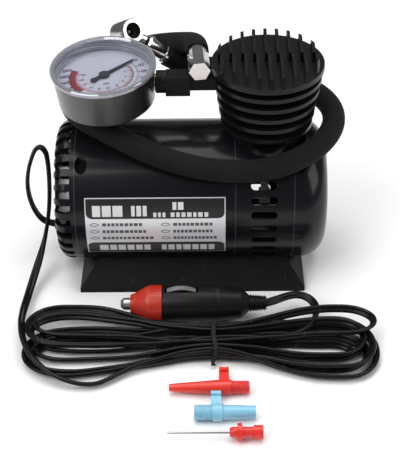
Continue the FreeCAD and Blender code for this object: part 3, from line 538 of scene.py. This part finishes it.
def fanGroup():
    # bars standing round an arc
    wiring, given = groupOf("barFan", {"Count": "Int", "Start": "Float", "Step": "Float", "Radius": "Float",
                                       "Height": "Float", "Bar": "Vector", "Finish": "Material"})
    index = wiring.node("GeometryNodeInputIndex")
    angle = given["Start"] + index * given["Step"]
    spot = wiring.node("ShaderNodeCombineXYZ", None, {0: wiring.maths("COSINE", angle) * given["Radius"],
                                                      1: wiring.maths("SINE", angle) * given["Radius"],
                                                      2: given["Height"]})
    points = placed(wiring, given, spot)
    bar = wiring.node("GeometryNodeMeshCube", None, {"Size": given["Bar"]})
    turned = wiring.node("ShaderNodeCombineXYZ", None, {2: angle})
    bars = wiring.node("GeometryNodeInstanceOnPoints", None, {"Points": points, "Instance": bar, "Rotation": turned})
    return finishGroup(wiring, bars, given["Finish"])


def ringGroup():
    # round ribs stacked up +Z, their radius running from one size to another
    wiring, given = groupOf("ringStack", {"Count": "Int", "Bottom": "Float", "Pitch": "Float", "First Radius": "Float",
                                          "Radius Step": "Float", "Thickness": "Float", "Finish": "Material"})
    index = wiring.node("GeometryNodeInputIndex")
    spot = wiring.node("ShaderNodeCombineXYZ", None, {2: given["Bottom"] + index * given["Pitch"]})
    points = placed(wiring, given, spot)
    circle = wiring.node("GeometryNodeCurvePrimitiveCircle", None, {"Resolution": 40, "Radius": 1.0})
    section = wiring.node("GeometryNodeCurvePrimitiveCircle", None, {"Resolution": 8,
                          "Radius": given["Thickness"] / given["First Radius"]})
    rib = wiring.node("GeometryNodeCurveToMesh", None, {"Curve": circle, "Profile Curve": section})
    size = given["First Radius"] + index * given["Radius Step"]
    ribs = wiring.node("GeometryNodeInstanceOnPoints", None, {"Points": points, "Instance": rib, "Scale": size})
    return finishGroup(wiring, ribs, given["Finish"])


def grown(tree, place, **sizes):
    holder = shown("grower", bpy.data.meshes.new("grower"))
    modifier = holder.modifiers.new("grow", "NODES")
    modifier.node_group = tree
    for item in tree.interface.items_tree:
        if item.in_out == "INPUT":
            modifier[item.identifier] = sizes[item.name.replace(" ", "")]
    mesh = bpy.data.meshes.new_from_object(holder.evaluated_get(bpy.context.evaluated_depsgraph_get()))
    bpy.data.objects.remove(holder)
    mesh.transform(place)
    return mesh


barFan, ringStack = fanGroup(), ringGroup()


# The camera, floor and lights

shot = {"stand": (0.009186, -0.532729, 0.418721), "aim": (0.004183, 0, 0.012231), "roll": -0.772, "lens": 91.6}


def camera():
    lens = bpy.data.cameras.new("camera")
    lens.lens, lens.sensor_width = shot["lens"], 36
    lens.clip_start, lens.clip_end = 0.01, 20
    eye = shown("camera", lens)
    stand, roll = Vector(shot["stand"]), math.radians(shot["roll"])
    forward = (Vector(shot["aim"]) - stand).normalized()
    right = forward.cross(Vector((0, 0, 1))).normalized()
    up = right.cross(forward)
    right, up = right * math.cos(roll) + up * math.sin(roll), up * math.cos(roll) - right * math.sin(roll)
    eye.matrix_world = Matrix((right, up, -forward)).transposed().to_4x4()
    eye.location = stand
    bpy.context.scene.camera = eye


lamps = {"key": {"at": (-0.55, -0.45, 0.85), "size": 0.75, "watts": 6.5},
         "fill": {"at": (0.75, -0.35, 0.55), "size": 0.6, "watts": 3.2},
         "top": {"at": (0.0, 0.25, 1.05), "size": 0.9, "watts": 9.0}}


def studio():
    floorMesh = bpy.data.meshes.new("floor")
    floorMesh.from_pydata([(-4, -4, 0), (4, -4, 0), (4, 4, 0), (-4, 4, 0)], [], [(0, 1, 2, 3)])
    floorMesh.transform(Matrix.Translation((0, 0, -0.0001)))
    floor = shown("floor", floorMesh)
    paper = Finish("paper", Roughness=0.9, Specular_IOR_Level=0.1)
    paper.set(Base_Color=paper.tint(paper.noise(3), rgb(0.93, 0.93, 0.93), rgb(0.95, 0.95, 0.95)))
    floorMesh.materials.append(paper.material)
    for name, lamp in lamps.items():
        light = bpy.data.lights.new(name, "AREA")
        light.shape, light.size, light.energy = "SQUARE", lamp["size"], lamp["watts"]
        holder = shown(name, light)
        holder.location = lamp["at"]
        holder.rotation_euler = (Vector((0, 0, 0.04)) - Vector(lamp["at"])).to_track_quat("-Z", "Y").to_euler()
    world = bpy.data.worlds.new("studio")
    bpy.context.scene.world = world
    world.use_nodes = True
    world.node_tree.nodes["Background"].inputs["Color"].default_value = rgb(0.95, 0.97, 1.0)
    world.node_tree.nodes["Background"].inputs["Strength"].default_value = 0.16
    bpy.context.scene.view_settings.view_transform = "Standard"


camera()
studio()
print("camera and studio ready")


# The air hose

hose = {"diameter": 0.012, "length": 0.405, "carriers": 26, "sides": 40, "fineness": 16}
hoseRoute = [
    (0.004, 0.015, 0.119), (0.0036, 0.0215, 0.1193), (0.0012, 0.03, 0.1162), (-0.005, 0.038, 0.112),
    (-0.0135, 0.045, 0.108), (-0.024, 0.05, 0.1038), (-0.0355, 0.051, 0.0998), (-0.0465, 0.048, 0.0965),
    (-0.056, 0.041, 0.0938), (-0.063, 0.031, 0.0914), (-0.066, 0.0195, 0.0898), (-0.064, 0.008, 0.0886),
    (-0.0565, -0.002, 0.0878), (-0.0455, -0.0105, 0.0868), (-0.0325, -0.0188, 0.084), (-0.017, -0.0255, 0.08),
    (0.001, -0.0305, 0.0766), (0.02, -0.0332, 0.075), (0.038, -0.0328, 0.0754), (0.054, -0.0285, 0.0782),
    (0.067, -0.0205, 0.082), (0.075, -0.0095, 0.0855), (0.077, 0.0035, 0.0875), (0.0735, 0.0165, 0.0882),
    (0.065, 0.0275, 0.089), (0.053, 0.035, 0.0905), (0.0395, 0.0386, 0.0928), (0.026, 0.0395, 0.0946),
    (0.0135, 0.0388, 0.0958), (0.0025, 0.0376, 0.0976), (-0.0062, 0.0362, 0.1012), (-0.0131, 0.0352, 0.1062)]


def airHose():
    path = smoothPath("airHoseLine", hoseRoute, hose["fineness"])
    radius = hose["diameter"] / 2
    turns = [2 * math.pi * step / hose["sides"] for step in range(hose["sides"])]
    outline = [(radius * math.cos(turn), radius * math.sin(turn)) for turn in turns]
    mesh = swept("airHoseBraid", path, *carried(path, Vector((0, 0, 1))), outline, hose["carriers"])
    piece = settle("airHoseBraid", mesh, "case", finishes["braid"], ["air_hose"])
    ends = [smoothed("hose_nut", "hoseNut", "chrome"), smoothed("hose_ferrule", "hoseFerrule", "chrome"),
            smoothed("chuck_body", "chuckBody", "chrome")]
    print("hose", round(measured(path), 3), "m")


airHose()


# The supply cord, wound into a tied hank

lead = {"length": 3.0, "width": 0.0044, "core": 0.0011, "groove": 0.62, "fineness": 12, "seed": 11, "waviness": 0.0007}
hank = {"tieX": 0.011, "tieY": -0.0860, "columnGap": 0.00262, "middleColumn": 3.5, "lowerZ": 0.0036, "upperZ": 0.0083,
        "rightMiddle": -0.0862, "leftMiddle": -0.0868, "bendFrom": 0.74, "spread": 0.98, "sink": 1.5,
        "blunt": 0.8, "belly": 1.06}
leadStart = [
    (-0.079, 0.005, 0.014), (-0.0845, 0.0052, 0.015), (-0.0888, 0.005, 0.0205), (-0.0916, 0.0044, 0.03),
    (-0.0924, 0.0036, 0.0415), (-0.0906, 0.003, 0.053), (-0.0874, 0.0024, 0.0624), (-0.0852, 0.0018, 0.0672),
    (-0.082, 0.001, 0.0696), (-0.0792, -0.0004, 0.067), (-0.0783, -0.0022, 0.0615), (-0.0782, -0.0046, 0.051),
    (-0.0788, -0.0074, 0.0395), (-0.0802, -0.0116, 0.0285), (-0.0826, -0.0185, 0.0185), (-0.0856, -0.028, 0.011),
    (-0.0882, -0.0395, 0.0064), (-0.0896, -0.052, 0.0052), (-0.09, -0.064, 0.0074), (-0.0894, -0.076, 0.0098),
    (-0.087, -0.0885, 0.0102), (-0.0825, -0.0985, 0.0094), (-0.0755, -0.1064, 0.0072), (-0.066, -0.112, 0.0046),
    (-0.056, -0.1144, 0.0029), (-0.0475, -0.114, 0.0026), (-0.041, -0.11, 0.0028), (-0.035, -0.1058, 0.0032),
    (-0.028, -0.102, 0.0036), (-0.0175, -0.0992, 0.0048), (-0.006, -0.0966, 0.0068)]
leadFinish = [
    (0.052, -0.084, 0.0072), (0.0605, -0.0775, 0.0070), (0.0652, -0.07, 0.0072), (0.0664, -0.0625, 0.0076),
    (0.0632, -0.056, 0.0084), (0.057, -0.0534, 0.0092), (0.0504, -0.0564, 0.0103), (0.0446, -0.0604, 0.011),
    (0.0394, -0.0625, 0.011)]
# each loop: how far it reaches, half its depth, its shift to the back, its height; then the slots in the tie that
# the loop's front and back runs pass through, as column and layer
rightLoops = [(0.0955, 0.0193, -0.0051, 0.0026), (0.0935, 0.0172, -0.0040, 0.0068), (0.0905, 0.0135, -0.0062, 0.0026),
              (0.0952, 0.0100, 0.0100, 0.0100), (0.0872, 0.0088, -0.0030, 0.0026), (0.0895, 0.0135, 0.0010, 0.0068),
              (0.0820, 0.0048, -0.0046, 0.0026)]
leftLoops = [(-0.0868, 0.0166, -0.0043, 0.0026), (-0.0835, 0.0112, -0.0070, 0.0026), (-0.0868, 0.0150, 0.0112, 0.0068),
             (-0.0848, 0.0108, 0.0085, 0.0068), (-0.0805, 0.0070, -0.0030, 0.0026), (-0.0825, 0.0085, 0.0125, 0.0068),
             (-0.0770, 0.0046, 0.0010, 0.0026)]
frontSlots = [(0, "upperZ"), (0, "lowerZ"), (1, "lowerZ"), (2, "upperZ"), (2, "lowerZ"), (1, "upperZ"), (3, "lowerZ"),
              (3, "upperZ")]
backSlots = [(7, "lowerZ"), (7, "upperZ"), (6, "lowerZ"), (6, "upperZ"), (5, "lowerZ"), (5, "upperZ"), (4, "lowerZ")]


def eased(amount):
    amount = min(max(amount, 0.0), 1.0)
    return amount * amount * (3 - 2 * amount)


def slotSpot(slot):
    column, layer = slot
    return Vector((hank["tieX"], hank["tieY"] + (column - hank["middleColumn"]) * hank["columnGap"], hank[layer]))


def loopPoints(loop, middle, leaving, arriving, shake):
    reach, half, shift, height = loop
    start, finish = slotSpot(leaving), slotSpot(arriving)
    turnY = middle + shift
    side = 1 if finish.y > start.y else -1            # which way the loop turns
    bendX = start.x + (reach - start.x) * hank["bendFrom"]

    def lifted():
        return abs(shake()) * 0.3                     # nothing dips below its height

    def run(end, bendY, amounts):
        return [(end.x + (bendX - end.x) * amount,
                 end.y + (bendY - end.y) * eased(amount * hank["spread"]) + shake(),
                 end.z + (height - end.z) * eased(amount * hank["sink"]) + lifted()) for amount in amounts]

    amounts = (0.2, 0.4, 0.6, 0.8, 1.0)
    points = run(start, turnY - side * half, amounts)
    for degrees in (-62, -30, 0, 30, 62):
        angle = math.radians(degrees)
        points.append((bendX + (reach - bendX) * math.cos(angle) ** hank["blunt"],
                       turnY + side * half * math.sin(angle) * hank["belly"] + shake() * 0.5, height + lifted()))
    return points + run(finish, turnY + side * half, amounts[::-1])


def hankPoints():
    draw = random.Random(lead["seed"])

    def shake():
        return draw.uniform(-1, 1) * lead["waviness"]

    points = [tuple(slotSpot(frontSlots[0]))]
    for turn, (right, left) in enumerate(zip(rightLoops, leftLoops)):
        points += loopPoints(right, hank["rightMiddle"], frontSlots[turn], backSlots[turn], shake)
        points.append(tuple(slotSpot(backSlots[turn])))
        points += loopPoints(left, hank["leftMiddle"], backSlots[turn], frontSlots[turn + 1], shake)
        points.append(tuple(slotSpot(frontSlots[turn + 1])))
    points += [(0.024, -0.0866, 0.0084), (0.038, -0.0868, 0.0080)]
    return points


def flatWays(path):
    # which way the flat cord's width points: upright in the tie, leaning outwards in the loops
    lay = {"tieHalf": 0.008, "fadeOver": 0.045, "tieFront": -0.066, "loopFront": -0.060, "lowUnder": 0.02,
           "loopLean": 52, "tieLean": 36, "freeLean": 20, "steepFrom": 0.35, "steepOver": 0.4, "reach": 6, "rounds": 3}
    directions = tangents(path)
    wanted = []
    for spot, direction in zip(path, directions):
        level = direction.cross(Vector((0, 0, 1)))
        level = level.normalized() if level.length > 1e-4 else Vector((0, 1, 0))
        near = 0
        if spot.y < lay["tieFront"]:
            near = 1 - eased((abs(spot.x - hank["tieX"]) - lay["tieHalf"]) / lay["fadeOver"])
        lean = math.radians(lay["freeLean"])
        if spot.y < lay["loopFront"] and abs(spot.z) < lay["lowUnder"]:
            lean = math.radians(lay["loopLean"] + lay["tieLean"] * near)
        laid = level * math.cos(lean) + Vector((0, 0, 1)) * math.sin(lean)
        steep = eased((abs(direction.z) - lay["steepFrom"]) / lay["steepOver"])
        pick = Vector((0, 1, 0)) if laid.y >= 0 else Vector((0, -1, 0))
        way = laid * (1 - steep) + pick * steep
        wanted.append((way - direction * way.dot(direction)).normalized())
    across = carried(path, wanted[0])[0]
    angles, last = [], 0.0
    for side, direction, way in zip(across, directions, wanted):
        up = direction.cross(side)
        angle = math.atan2(way.dot(up), way.dot(side))
        angle += math.pi * round((last - angle) / math.pi)       # a flat cord looks the same turned half round
        angles.append(angle)
        last = angle
    window = 2 * lay["reach"] + 1
    for _ in range(lay["rounds"]):
        ends = [angles[0]] * lay["reach"] + angles + [angles[-1]] * lay["reach"]
        angles = [sum(ends[index:index + window]) / window for index in range(len(angles))]
    return [side * math.cos(angle) + direction.cross(side) * math.sin(angle)
            for side, direction, angle in zip(across, directions, angles)], directions


def twinOutline():
    # two round cores side by side with a groove between them
    core = lead["core"]
    angles = [math.radians(degrees) for degrees in range(-125, 126, 25)]
    right = [(core + core * math.cos(angle), core * math.sin(angle)) for angle in angles]
    left = [(-across, -upward) for across, upward in right]
    return right + [(0, core * lead["groove"])] + left + [(0, -core * lead["groove"])]


def supplyCord():
    points = leadStart + hankPoints() + leadFinish
    path = smoothPath("supplyCordLine", points, lead["fineness"])
    mesh = swept("supplyCord", path, *flatWays(path), twinOutline())
    piece = settle("supplyCord", mesh, "case", finishes["cord_jacket"],
                   ["cord_near", "cord_far", "cord_hank"])
    print("supply cord", round(measured(path), 3), "m,", len(points), "points")
    return piece, path


def cordTie():
    tie = {"halfDepth": 0.0113, "halfHeight": 0.0054, "wire": 0.00075, "flat": 1.7, "thin": 0.8, "middleZ": 0.0066,
           "turns": 23, "square": 0.75, "tailPoints": 7, "tailY": -0.0972, "tailZ": 0.0048, "twist": 0.0007}
    angles = [math.radians(degrees) for degrees in range(0, 360, 30)]
    outline = [(tie["wire"] * tie["flat"] * math.cos(angle), tie["wire"] * tie["thin"] * math.sin(angle))
               for angle in angles]

    def squared(wave):
        return math.copysign(abs(wave) ** tie["square"], wave)

    points = []
    for step in range(tie["turns"]):
        angle = math.radians(-110 + 360 * step / (tie["turns"] - 1))
        points.append((hank["tieX"] + 0.0006 * math.sin(step * 0.9) + 0.00006 * step,
                       hank["tieY"] + tie["halfDepth"] * squared(math.cos(angle)),
                       tie["middleZ"] + tie["halfHeight"] * squared(math.sin(angle))))
    path = smoothPath("cordTieLine", points, 8)
    wires = [swept("cordTie", path, *carried(path, Vector((1, 0, 0))), outline)]
    for turned in (0, math.pi):
        spots = [(hank["tieX"] + tie["twist"] * math.cos(turned + step * 1.1), tie["tailY"] - 0.0006 * step,
                  tie["tailZ"] - 0.0004 * step + 0.0006 * math.sin(turned + step * 1.1))
                 for step in range(tie["tailPoints"])]
        tailPath = smoothPath("cordTieTail", spots, 6)
        wires.append(swept("cordTieTail", tailPath, *carried(tailPath, Vector((0, 0, 1))),
                           [(wide * 0.5, thick) for wide, thick in outline]))
    settle("cordTieWire", joined("cordTieWire", wires), "case", finishes["rubber"], ["cord_tie"])


# The lighter plug

def lighterPlug():
    plug = {"axisY": -0.0625, "axisZ": 0.011, "radius": 0.0096, "shell": -0.0159, "relief": 0.0303, "knurls": 60,
            "knurl": (0.0005, 0.0005, 0.0058), "ribs": 6, "ribPitch": 0.00145, "ribRadius": 0.0042, "ribStep": -0.00012}
    place = Matrix.Translation((0, plug["axisY"], plug["axisZ"])) @ Matrix.Rotation(math.pi / 2, 4, "Y")
    red = smoothed("plug_ring", "plugRing", "plug_red")
    shell = smoothed("plug_shell", "plugShell", "plug_black")
    relief = smoothed("plug_relief", "plugRelief", "plug_black")
    knurl = grown(barFan, place, Count=plug["knurls"], Start=0.0, Step=2 * math.pi / plug["knurls"],
                  Radius=plug["radius"] - 0.00005, Height=plug["shell"] - 0.0037, Bar=plug["knurl"],
                  Finish=finishes["plug_red"])
    knurl = settle("plugRingRibs", knurl, "case")
    ribs = grown(ringStack, place, Count=plug["ribs"], Bottom=plug["relief"] + 0.0008, Pitch=plug["ribPitch"],
                 FirstRadius=plug["ribRadius"], RadiusStep=plug["ribStep"], Thickness=0.00042,
                 Finish=finishes["plug_black"])
    ribs.shade_smooth()
    ribs = settle("plugReliefRibs", ribs, "case")
    return [red, shell, relief, knurl, ribs] + [frame["nodes"][name] for name in (
        "plug_tip", "contact_top", "contact_bottom", "plug_fuse")]


cordPiece, cordPath = supplyCord()
cordTie()
plugPieces = lighterPlug()
print("cord, tie and plug ready")


# The case, head, foot and label

smoothed("front_shell", "frontShell", "gloss_case")
smoothed("back_shell", "backShell", "gloss_case")
smoothed("foot", "footBlock", "satin_black")
smoothed("outlet_arm", "outletArm", "satin_black")


def labelPrint():
    # along the barrel in metres, round it in degrees up from the front
    film = {"left": -0.0561, "right": 0.0181, "top": 27.7, "bottom": -27.5, "radius": 0.0387, "axisZ": 0.042,
            "round": 0.0036, "inset": 0.0005, "line": 0.8, "sunk": 0.00002, "bandLift": 0.00003, "markLift": 0.00006,
            "rimLift": 0.00004, "ovalLift": 0.00008, "bandColumns": 16, "ovalColumns": 7}

    def patch(left, right, low, high, lift, columns=2, lowRound=0, highRound=0):
        rows = max(2, int((high - low) / 2) + 1)
        corners, faces = [], []
        spots = [left + (right - left) * step / (columns - 1) for step in range(columns)]
        if right - left > 3 * film["round"]:             # a wide band needs closer columns at its rounded ends only
            half = columns // 2
            ends = [film["round"] * (1 - math.cos(math.pi * step / 2 / (half - 1))) for step in range(half)]
            spots = [left + end for end in ends] + [right - end for end in reversed(ends)]
        for spot in spots:
            inward = max(0.0, 1 - min(spot - left, right - spot) / film["round"])
            curve = 1 - math.sqrt(max(0.0, 1 - inward * inward))
            lowNow, highNow = low + lowRound * curve, high - highRound * curve
            for row in range(rows):
                angle = math.radians(lowNow + (highNow - lowNow) * row / (rows - 1))
                for radius in (film["radius"] - film["sunk"], film["radius"] + lift):
                    corners.append((spot, -radius * math.cos(angle), film["axisZ"] + radius * math.sin(angle)))
        stride = rows * 2
        for column in range(columns - 1):
            for row in range(rows - 1):
                here = column * stride + row * 2
                faces.append((here + 1, here + stride + 1, here + stride + 3, here + 3))
                faces.append((here, here + 2, here + stride + 2, here + stride))
            first, last = column * stride, column * stride + (rows - 1) * 2
            faces.append((first, first + stride, first + stride + 1, first + 1))
            faces.append((last, last + 1, last + stride + 1, last + stride))
        for column in (0, columns - 1):
            for row in range(rows - 1):
                here = column * stride + row * 2
                faces.append((here, here + 1, here + 3, here + 2))
        return meshFrom("patch", corners, faces, 50)

    def lettersLike(target, left, right, low, high, count, gap):
        # a row of plain blocks where a line of print would be
        draw = random.Random(int(count * 100 + low * 10))
        weights = [draw.uniform(0.75, 1.2) for _ in range(count)]
        room = right - left - gap * (count - 1)
        spot = left
        for weight in weights:
            width = room * weight / sum(weights)
            target.append(patch(spot, spot + width, low, high, film["markLift"]))
            spot += width + gap

    left, right = film["left"] + film["inset"], film["right"] - film["inset"]
    bands = [patch(left, right, 10.4, film["top"] - film["line"], film["bandLift"], film["bandColumns"], 4.6, 0),
             patch(left, right, film["bottom"] + film["line"] * 0.6, -13.2, film["bandLift"], film["bandColumns"],
                   0, 4.0)]
    # each row of marks: its left and right, its low and high, how many, and the gap between them
    markRows = ((-0.0522, -0.0362, 12.3, 21.4, 3, 0.0009), (-0.0316, -0.0234, 12.6, 21.2, 3, 0.0009),
                (-0.0200, -0.0136, 11.8, 15.6, 3, 0.0009), (-0.0108, 0.0090, 11.8, 15.6, 7, 0.0009),
                (-0.0495, -0.0222, -24.2, -16.6, 6, 0.0009), (-0.0162, 0.0122, -24.2, -16.6, 7, 0.0009),
                (-0.0098, -0.0040, 17.8, 24.0, 2, 0.0008))
    marks, lines, ovals = [], [], []
    for row in markRows:
        lettersLike(marks, *row)
    # each line: its top, how many blocks it has, and its two widths
    for high, count, widths in ((6.6, 9, (0.0212, 0.0208)), (0.0, 10, (0.0232, 0.0208)), (-6.8, 12, (0.0270, 0.0230))):
        for left, width in zip((-0.0473, -0.0096), widths):
            lettersLike(lines, left, left + width, high - 2.7, high, count, 0.0006)
            lines.append(patch(left - 0.0066, left - 0.0016, high - 3.0, high + 0.3, film["rimLift"],
                               film["ovalColumns"], 1.6, 1.6))
            ovals.append(patch(left - 0.0060, left - 0.0022, high - 2.4, high - 0.3, film["ovalLift"],
                               film["ovalColumns"], 1.0, 1.0))
    for name, meshes, finish in (("labelBands", bands, inks["black"]), ("labelMarks", marks, inks["white"]),
                                 ("labelLines", lines, inks["grey"]), ("labelOvals", ovals, finishes["label_print"])):
        settle(name, joined(name, meshes), "case", finish)
    smoothed("rating_label", "labelSheet", "label_print")


labelPrint()
print("case and label ready")


# The gauge

gauge = {"centre": (-0.045, 0, 0.1205), "lean": -2.9, "nod": 4.4, "height": 0.0225, "radius": 0.0277, "ribs": 132,
         "rib": (0.0022, 0.0005, 0.0013), "wallSides": 96,
         "wall": ((0.02435, 0.01505), (0.02462, 0.01505), (0.02498, 0.0201), (0.0247, 0.0201))}
dial = {"top": 0.0150, "printed": 0.00006, "skin": 0.00002, "zero": 40.6, "sweep": 240, "lastNumber": 15,
        "numberRadius": 0.0210, "numberSize": 0.0035, "innerSweep": 232, "innerLast": 10, "innerRadius": 0.0112,
        "innerSize": 0.0022, "unitRadius": 0.0072, "unitSize": 0.0026}
gaugeTurn = Matrix.Rotation(math.radians(gauge["lean"]), 4, "Y") @ Matrix.Rotation(math.radians(gauge["nod"]), 4, "X")
gaugePlace = Matrix.Translation(gauge["centre"]) @ gaugeTurn @ Matrix.Translation((0, 0, -gauge["height"]))


def printed(text, size, radius, degrees):
    letters = bpy.data.curves.new("print", "FONT")
    letters.body, letters.size = text, size
    letters.align_x, letters.align_y = "CENTER", "CENTER"
    letters.extrude, letters.offset, letters.resolution_u = 0.00002, 0.00007, 3
    holder = shown("print", letters)
    mesh = bpy.data.meshes.new_from_object(holder)
    bpy.data.objects.remove(holder)
    angle = math.radians(degrees)
    spot = Matrix.Translation((radius * math.cos(angle), radius * math.sin(angle), dial["top"] + dial["printed"]))
    upright = Matrix.Rotation(math.radians(dial["zero"] - dial["sweep"] / 2 - 90), 4, "Z")
    mesh.transform(gaugePlace @ spot @ upright)
    return mesh


def dialArc(start, end, inner, outer):
    steps = max(6, int(abs(end - start) / 3))
    low, high = dial["top"] - dial["skin"], dial["top"] + 2 * dial["skin"]
    corners, faces = [], []
    for step in range(steps + 1):
        angle = math.radians(start + (end - start) * step / steps)
        for radius, height in ((inner, low), (outer, low), (outer, high), (inner, high)):
            corners.append(gaugePlace @ Vector((radius * math.cos(angle), radius * math.sin(angle), height)))
    for step in range(steps):
        for index in range(4):
            after = (index + 1) % 4
            faces.append((step * 4 + index, step * 4 + after, step * 4 + 4 + after, step * 4 + 4 + index))
    faces += [(0, 1, 2, 3), (steps * 4 + 3, steps * 4 + 2, steps * 4 + 1, steps * 4)]
    return meshFrom("arc", corners, faces, 40)


def ticks(count, sweep, radius, length, width):
    return grown(barFan, gaugePlace, Count=count, Start=math.radians(dial["zero"]),
                 Step=-math.radians(sweep) / (count - 1), Radius=radius, Height=dial["top"] + dial["skin"],
                 Bar=(length, width, 0.00008), Finish=inks["navy"])


def pressureGauge():
    smoothed("gauge_case", "gaugeCase", "satin_black", gaugeGloss)
    smoothed("gauge_dial", "gaugeDial", "dial_print")
    smoothed("gauge_bezel", "gaugeBezel", "clear", finishes["bezel"])
    wall = lathed("gaugeWall", gauge["wall"], gauge["wallSides"], gaugePlace)
    # the wall carries painted light bands in place of its own colour
    settle("gaugeWall", wall, "case", finishes["dialWall"])
    ribs = grown(barFan, gaugePlace, Count=gauge["ribs"], Start=0.0, Step=2 * math.pi / gauge["ribs"],
                 Radius=gauge["radius"] - 0.00145, Height=gauge["height"] - 0.0011, Bar=gauge["rib"],
                 Finish=finishes["bezel"])
    settle("gaugeBezelRibs", ribs, "case")
    step, innerStep = dial["sweep"] / dial["lastNumber"], dial["innerSweep"] / dial["innerLast"]
    numbers = [printed(str(index * 20), dial["numberSize"], dial["numberRadius"], dial["zero"] - index * step)
               for index in range(dial["lastNumber"] + 1)]
    small = [printed(str(index * 2), dial["innerSize"], dial["innerRadius"], dial["zero"] - index * innerStep)
             for index in range(dial["innerLast"] + 1)]
    small.append(printed("bar", dial["unitSize"], dial["unitRadius"], dial["zero"] - dial["sweep"] / 2))
    outer = [ticks(61, dial["sweep"], 0.0177, 0.0012, 0.00026), ticks(16, dial["sweep"], 0.0180, 0.0020, 0.00050)]
    scale = [ticks(41, dial["innerSweep"], 0.0137, 0.0011, 0.00024),
             ticks(11, dial["innerSweep"], 0.0133, 0.0019, 0.00040), dialArc(40.6, -199.4, 0.01436, 0.01472)]
    red = [dialArc(158, 229, 0.0150, 0.0186), dialArc(35, -45, 0.0149, 0.0154)]
    for name, meshes, colour in (("dialNumbers", numbers, "navy"), ("dialSmallNumbers", small, "grey"),
                                 ("dialTicks", outer, "navy"), ("dialInnerScale", scale, "pink"),
                                 ("dialRedArcs", red, "red")):
        settle(name, joined(name, meshes), "case", inks[colour])


finishes["bezel"] = thinClear("clearBezel", (0.62, 0.63, 0.67), 0.48, 0.92, 0.6)
finishes["dialWall"] = bandedWall()
pressureGauge()
print("gauge ready")


# The adapters

def adapters():
    grips = {"red": {"y": -0.118, "z": 0.0039, "start": 0.0203, "radius": 0.0031},
             "blue": {"y": -0.1355, "z": 0.0044, "start": 0.0020, "radius": 0.0036}}
    smoothed("red_nozzle", "redNozzle", "adapter_red")
    smoothed("blue_nozzle", "blueNozzle", "adapter_blue")
    for colour, grip in grips.items():
        place = Matrix.Translation((0, grip["y"], grip["z"])) @ Matrix.Rotation(math.pi / 2, 4, "Y")
        ribs = grown(ringStack, place, Count=8, Bottom=grip["start"], Pitch=0.00105, FirstRadius=grip["radius"],
                     RadiusStep=0.0, Thickness=0.00035, Finish=finishes[f"adapter_{colour}"])
        ribs.shade_smooth()
        settle(f"{colour}NozzleRibs", ribs, f"{colour}_adapter")
    smoothed("ball_needle", "ballNeedle", "steel")
    smoothed("needle_hub", "needleHub", "adapter_red")


def dressFrame():
    # everything that the frame still shows takes the finish of its slot
    slots = {part["node"]: part["material_slot"] for part in frame["record"]["subparts"]}
    for name, node in frame["nodes"].items():
        if not node.hide_render:
            node.data.materials.clear()
            node.data.materials.append(finishes[slots[name]])


adapters()
dressFrame()
# painted shade: the chuck pin takes the darkened brass because it lies in the shade inside the chuck mouth
frame["nodes"]["chuck_pin"].data.materials[0] = finishes["deepBrass"]
print("adapters and frame dressed")
